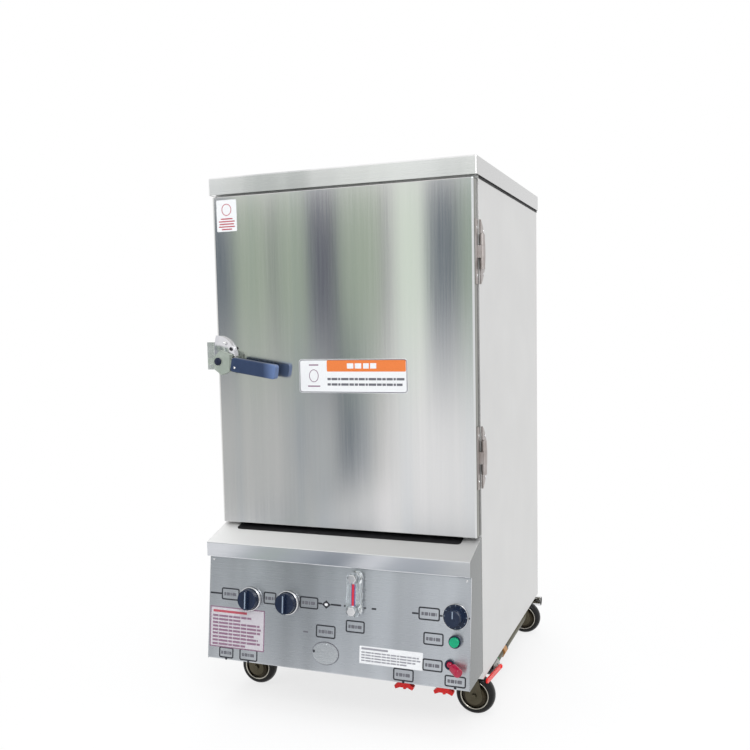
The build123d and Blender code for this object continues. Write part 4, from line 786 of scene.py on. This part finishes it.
def wheels():
    """Castor wheels: rounded tyre, dished bronze hub, bright rim ring and hub cap.

    Tyre profile: radius 40 + 10 cos a, half-width 15.76 sin a / sin 75 for a from -75 to 75 degrees.
    """
    half, arc = 0.016, 75
    angle = np.radians(np.linspace(-arc, arc, 13))
    tread = np.stack([0.0400 + 0.0100 * np.cos(angle),
                      0.985 * half * np.sin(angle) / math.sin(math.radians(arc))], -1)
    tyre = [(0.0345, -half + 0.0035), (0.0360, -half), (0.0400, -half + 0.0002), *tread,
            (0.0400, half - 0.0002), (0.0360, half), (0.0345, half - 0.0035)]
    dish = np.array(((0.0346, 0.0125), (0.0320, 0.0100), (0.0230, 0.0085), (0.0180, 0.0105), (0.0170, 0.0180),
                     (0.0150, 0.0186), (0.0042, 0.0186)))
    hub = np.concatenate([(dish * (1, -1))[::-1], dish])
    rim = np.array(((0.0310, 0.0105), (0.0330, 0.0110), (0.0362, 0.0150), (0.0362, 0.0162), (0.0350, 0.0168),
                    (0.0330, 0.0150), (0.0318, 0.0115)))
    aside, front, rear, offset = 0.306, 0.050, 0.664, 0.012
    for corner in CORNERS:
        x = aside if "right" in corner else -aside
        axle = spot(x + offset, front if "front" in corner else rear, 0.050)
        body = f"{corner}_wheel"
        covering = piece(f"{body}_tyre", turned(tyre, axle, OUT, 96, True), "tyre", body)
        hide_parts(f"caster_{corner}_wheel")
        piece(f"{body}_hub", turned(hub, axle, OUT, 64), "hub", body)
        rings = [turned(rim, axle, OUT, 72, True), turned(rim, axle, -OUT, 72, True)]
        piece(f"{body}_rim", joined(rings), "rim", body)


def lid_gap_shade():
    """Dark strips between the lid and the side panels: painted shade of the gap."""
    outline = rounded(BACK - FRONT, 0.006, 0.0005)
    # Painted shade: black strips fill the gap under the lid
    strips = [film(outline, np.array((side * 0.3501, (FRONT + BACK) / 2, 1.3152)), RIGHT * side, 0.0012)
              for side in (-1, 1)]
    piece("lid_gap_shade", joined(strips), "matt_black", "cabinet", False)


panel_marks()
panel_stickers()
notice_plate()
corner_label()
knob_rings()
gauge_insert()
flap_details()
slot_opening_shade()
screws()
latch_details()
wheels()
lid_gap_shade()


# Floor, light and camera


def sheet(name, corners, material):
    """Flat stage sheet through four corners."""
    mesh = bpy.data.meshes.new(name)
    mesh.from_pydata(corners, [], [(0, 1, 2, 3)])
    mesh.materials.append(material)
    item = bpy.data.objects.new(name, mesh)
    bpy.context.scene.collection.objects.link(item)
    return item


def ground():
    """Pale floor that runs out into a white backdrop."""
    finish = Finish("floor", (0.88, 0.88, 0.88), 0.8)
    mottle = finish.noise(EVEN, 2.0, 2.0)
    finish.set("Base Color", finish.ramp(mottle, [(0.3, (0.87, 0.87, 0.87)), (0.7, (0.89, 0.89, 0.89))]))
    away = finish.add("ShaderNodeVectorMath", operation="LENGTH")
    finish.link(finish.coordinates, away, 0)
    near_glow, glow_from, glow_to = 0.72, 0.30, 1.1
    far = finish.remap(away.outputs["Value"], near_glow, 1.0, glow_from, glow_to)
    paths = finish.add("ShaderNodeLightPath")
    shown = finish.maths("ADD", paths.outputs["Is Camera Ray"], paths.outputs["Is Glossy Ray"])
    shown = finish.maths("ADD", shown, paths.outputs["Is Transmission Ray"])
    glow = finish.add("ShaderNodeEmission", Color=(1, 1, 1, 1), Strength=1.0)
    blend = finish.add("ShaderNodeMixShader")
    finish.tree.links.new(finish.maths("MULTIPLY", far, shown), blend.inputs[0])
    finish.tree.links.new(finish.shader.outputs[0], blend.inputs[1])
    finish.tree.links.new(glow.outputs[0], blend.inputs[2])
    finish.link(blend.outputs[0], finish.tree.nodes["Material Output"], "Surface")
    reach = 30.0
    corners = [(-reach, -reach, 0), (reach, -reach, 0), (reach, reach, 0), (-reach, reach, 0)]
    sheet("floor", corners, finish.material)


def surroundings():
    """White to the camera and in reflections, a softer grey as light on the cabinet."""
    light, white = (0.50, 0.51, 0.53, 1), (1.0, 1.0, 1.0, 1)
    world = bpy.data.worlds.new("studio")
    world.use_nodes = True
    bpy.context.scene.world = world
    tree = world.node_tree
    paths = tree.nodes.new("ShaderNodeLightPath")
    total = paths.outputs["Is Camera Ray"]
    for name in ("Is Glossy Ray", "Is Transmission Ray"):
        adding = tree.nodes.new("ShaderNodeMath")
        tree.links.new(total, adding.inputs[0])
        tree.links.new(paths.outputs[name], adding.inputs[1])
        total = adding.outputs[0]
    seen = tree.nodes.new("ShaderNodeMix")
    seen.data_type = "RGBA"
    seen.inputs[6].default_value = light
    seen.inputs[7].default_value = white
    tree.links.new(total, seen.inputs[0])
    tree.links.new(seen.outputs[2], tree.nodes["Background"].inputs["Color"])


def lamps():
    """Soft area lights: place, aim, size and power of each."""
    for name, place, aim, size, power in (
        ("key", (2.0, -3.2, 3.4), (0, 0, 0.7), 2.0, 85), ("fill", (-3.2, -2.6, 2.2), (0, 0, 0.7), 2.4, 45),
        ("top", (0.2, -0.4, 4.0), (0, 0, 0), 3.0, 50), ("side", (4.2, 0.8, 2.6), (0, 0.1, 0.6), 2.6, 35),
        ("rear", (-1.5, 4.2, 2.6), (0, 0, 0.7), 2.6, 60),
    ):
        lamp = bpy.data.lights.new(name, "AREA")
        lamp.size = size
        lamp.energy = power
        item = bpy.data.objects.new(name, lamp)
        item.location = place
        item.rotation_euler = (Vector(aim) - Vector(place)).to_track_quat("-Z", "Y").to_euler()
        item.visible_glossy = name == "key"
        bpy.context.scene.collection.objects.link(item)


# Tones of the cards, and their bands: place across X in metres, and tone

CARD_LEFT, CARD_RIGHT = -2.5, 0.1
SHADE, POST, LEAF = (0.16, 0.19, 0.23), (0.12, 0.12, 0.17), (0.44, 0.52, 0.42)
HAZE, WALL = (0.42, 0.45, 0.49), (0.60, 0.61, 0.61)
SKY, WINDOW = (0.90, 1.00, 0.88), (1.00, 1.00, 1.02)
UPPER_BANDS = [(-2.24, SHADE), (-2.14, SHADE), (-2.08, LEAF), (-1.86, LEAF), (-1.82, POST), (-1.78, LEAF),
               (-1.58, LEAF), (-1.54, POST), (-1.38, POST), (-1.33, LEAF), (-1.08, LEAF), (-1.055, POST),
               (-1.03, WALL), (-1.00, WALL), (-0.95, SKY), (-0.80, SKY), (-0.775, SHADE), (-0.60, SHADE),
               (-0.50, LEAF)]
LOWER_BANDS = [(-2.24, WALL), (-1.80, WALL), (-1.62, HAZE), (-1.52, WALL), (-1.44, WALL), (-1.35, SHADE),
               (-1.30, SHADE), (-1.20, HAZE), (-1.12, WALL), (-0.94, WINDOW), (-0.50, WINDOW)]
FLOOR_BANDS = [(-2.24, HAZE), (-1.90, WALL), (-1.40, WALL), (-1.34, HAZE), (-1.10, WALL), (-0.90, WINDOW)]
NEAR_FLOOR = [(-2.24, HAZE), (-0.50, HAZE)]
LIP_BANDS = [(-1.30, WINDOW), (-1.05, WINDOW), (-1.03, HAZE), (-0.94, HAZE), (-0.93, LEAF), (-0.87, LEAF),
             (-0.85, HAZE), (-0.69, HAZE), (-0.66, SHADE), (-0.51, SHADE), (-0.49, WINDOW), (-0.39, WINDOW),
             (-0.37, HAZE), (-0.14, HAZE), (-0.12, WALL), (0.08, WALL)]


def glow_bands(name, first, second, axis_name, low, high):
    """Emission in bands across X: the second row at the low end of an axis, the first at the high end."""
    finish = Finish(name, (0.5, 0.5, 0.5), 1.0)
    across = finish.remap(finish.part(finish.coordinates, "X"), 0.0, 1.0, CARD_LEFT, CARD_RIGHT)
    rows = [finish.ramp(across, [((place - CARD_LEFT) / (CARD_RIGHT - CARD_LEFT), colour)
                                 for place, colour in bands]) for bands in (first, second)]
    height = finish.remap(finish.part(finish.coordinates, axis_name), 1.0, 0.0, low, high)
    glow = finish.add("ShaderNodeEmission", Strength=1.0)
    finish.link(finish.mix(height, rows[0], rows[1]), glow, "Color")
    finish.link(glow.outputs[0], finish.tree.nodes["Material Output"], "Surface")
    return finish.material


def mirror_cards():
    """Banded cards in front of the cabinet, seen only in its polished steel: one upright, two flat."""
    near, far, top, low, lift = FRONT - 0.75, FRONT - 3.2, 1.86, 0.003, 0.006
    front, back = FRONT - 1.75, FRONT - 1.28
    tall = [(-2.65, far, 0.0), (-0.15, far, 0.0), (-0.15, far, top), (-2.65, far, top)]
    flat = [(-2.65, far, low), (0.4, far, low), (0.4, near, low), (-1.5, near, low)]
    strip = [(-1.35, front, lift), (0.1, front, lift), (0.1, back, lift), (-1.35, back, lift)]
    for name, corners, *bands in (
        ("tall_card", tall, UPPER_BANDS, LOWER_BANDS, "Z", 0.35, 1.20),
        ("lip_card", strip, LIP_BANDS, LIP_BANDS, "Y", 0.0, 1.0),
        ("floor_card", flat, NEAR_FLOOR, FLOOR_BANDS, "Y", FRONT - 2.1, FRONT - 1.4),
    ):
        card = sheet(name, corners, glow_bands(name, *bands))
        card.visible_camera = False
        card.visible_diffuse = False
        card.visible_shadow = False
        card.visible_transmission = False


def camera():
    """Camera at the photograph's viewpoint."""
    yaw, pitch, roll = 0.36680, -0.09047, -0.02058
    ahead = Vector((-math.sin(yaw) * math.cos(pitch), math.cos(yaw) * math.cos(pitch), math.sin(pitch)))
    right = ahead.cross(Vector(UP)).normalized()
    up = right.cross(ahead)
    across = right * math.cos(roll) + up * math.sin(roll)
    above = up * math.cos(roll) - right * math.sin(roll)
    pixels, focal, middle_x, middle_y = 750, 879.90, 374.84, 405.02
    lens = bpy.data.cameras.new("camera")
    lens.sensor_width = 36
    lens.lens = focal / pixels * 36
    lens.shift_x = (pixels / 2 - middle_x) / pixels
    lens.shift_y = (middle_y - pixels / 2) / pixels
    lens.clip_start, lens.clip_end = 0.05, 100
    view = bpy.data.objects.new("camera", lens)
    turn = Matrix((across, above, -ahead)).transposed().to_4x4()
    view.matrix_world = Matrix.Translation((0.86192, FRONT - 2.03421, 0.97725)) @ turn
    bpy.context.scene.collection.objects.link(view)
    bpy.context.scene.camera = view


ground()
surroundings()
lamps()
mirror_cards()
camera()
bpy.context.scene.view_settings.view_transform = "Standard"
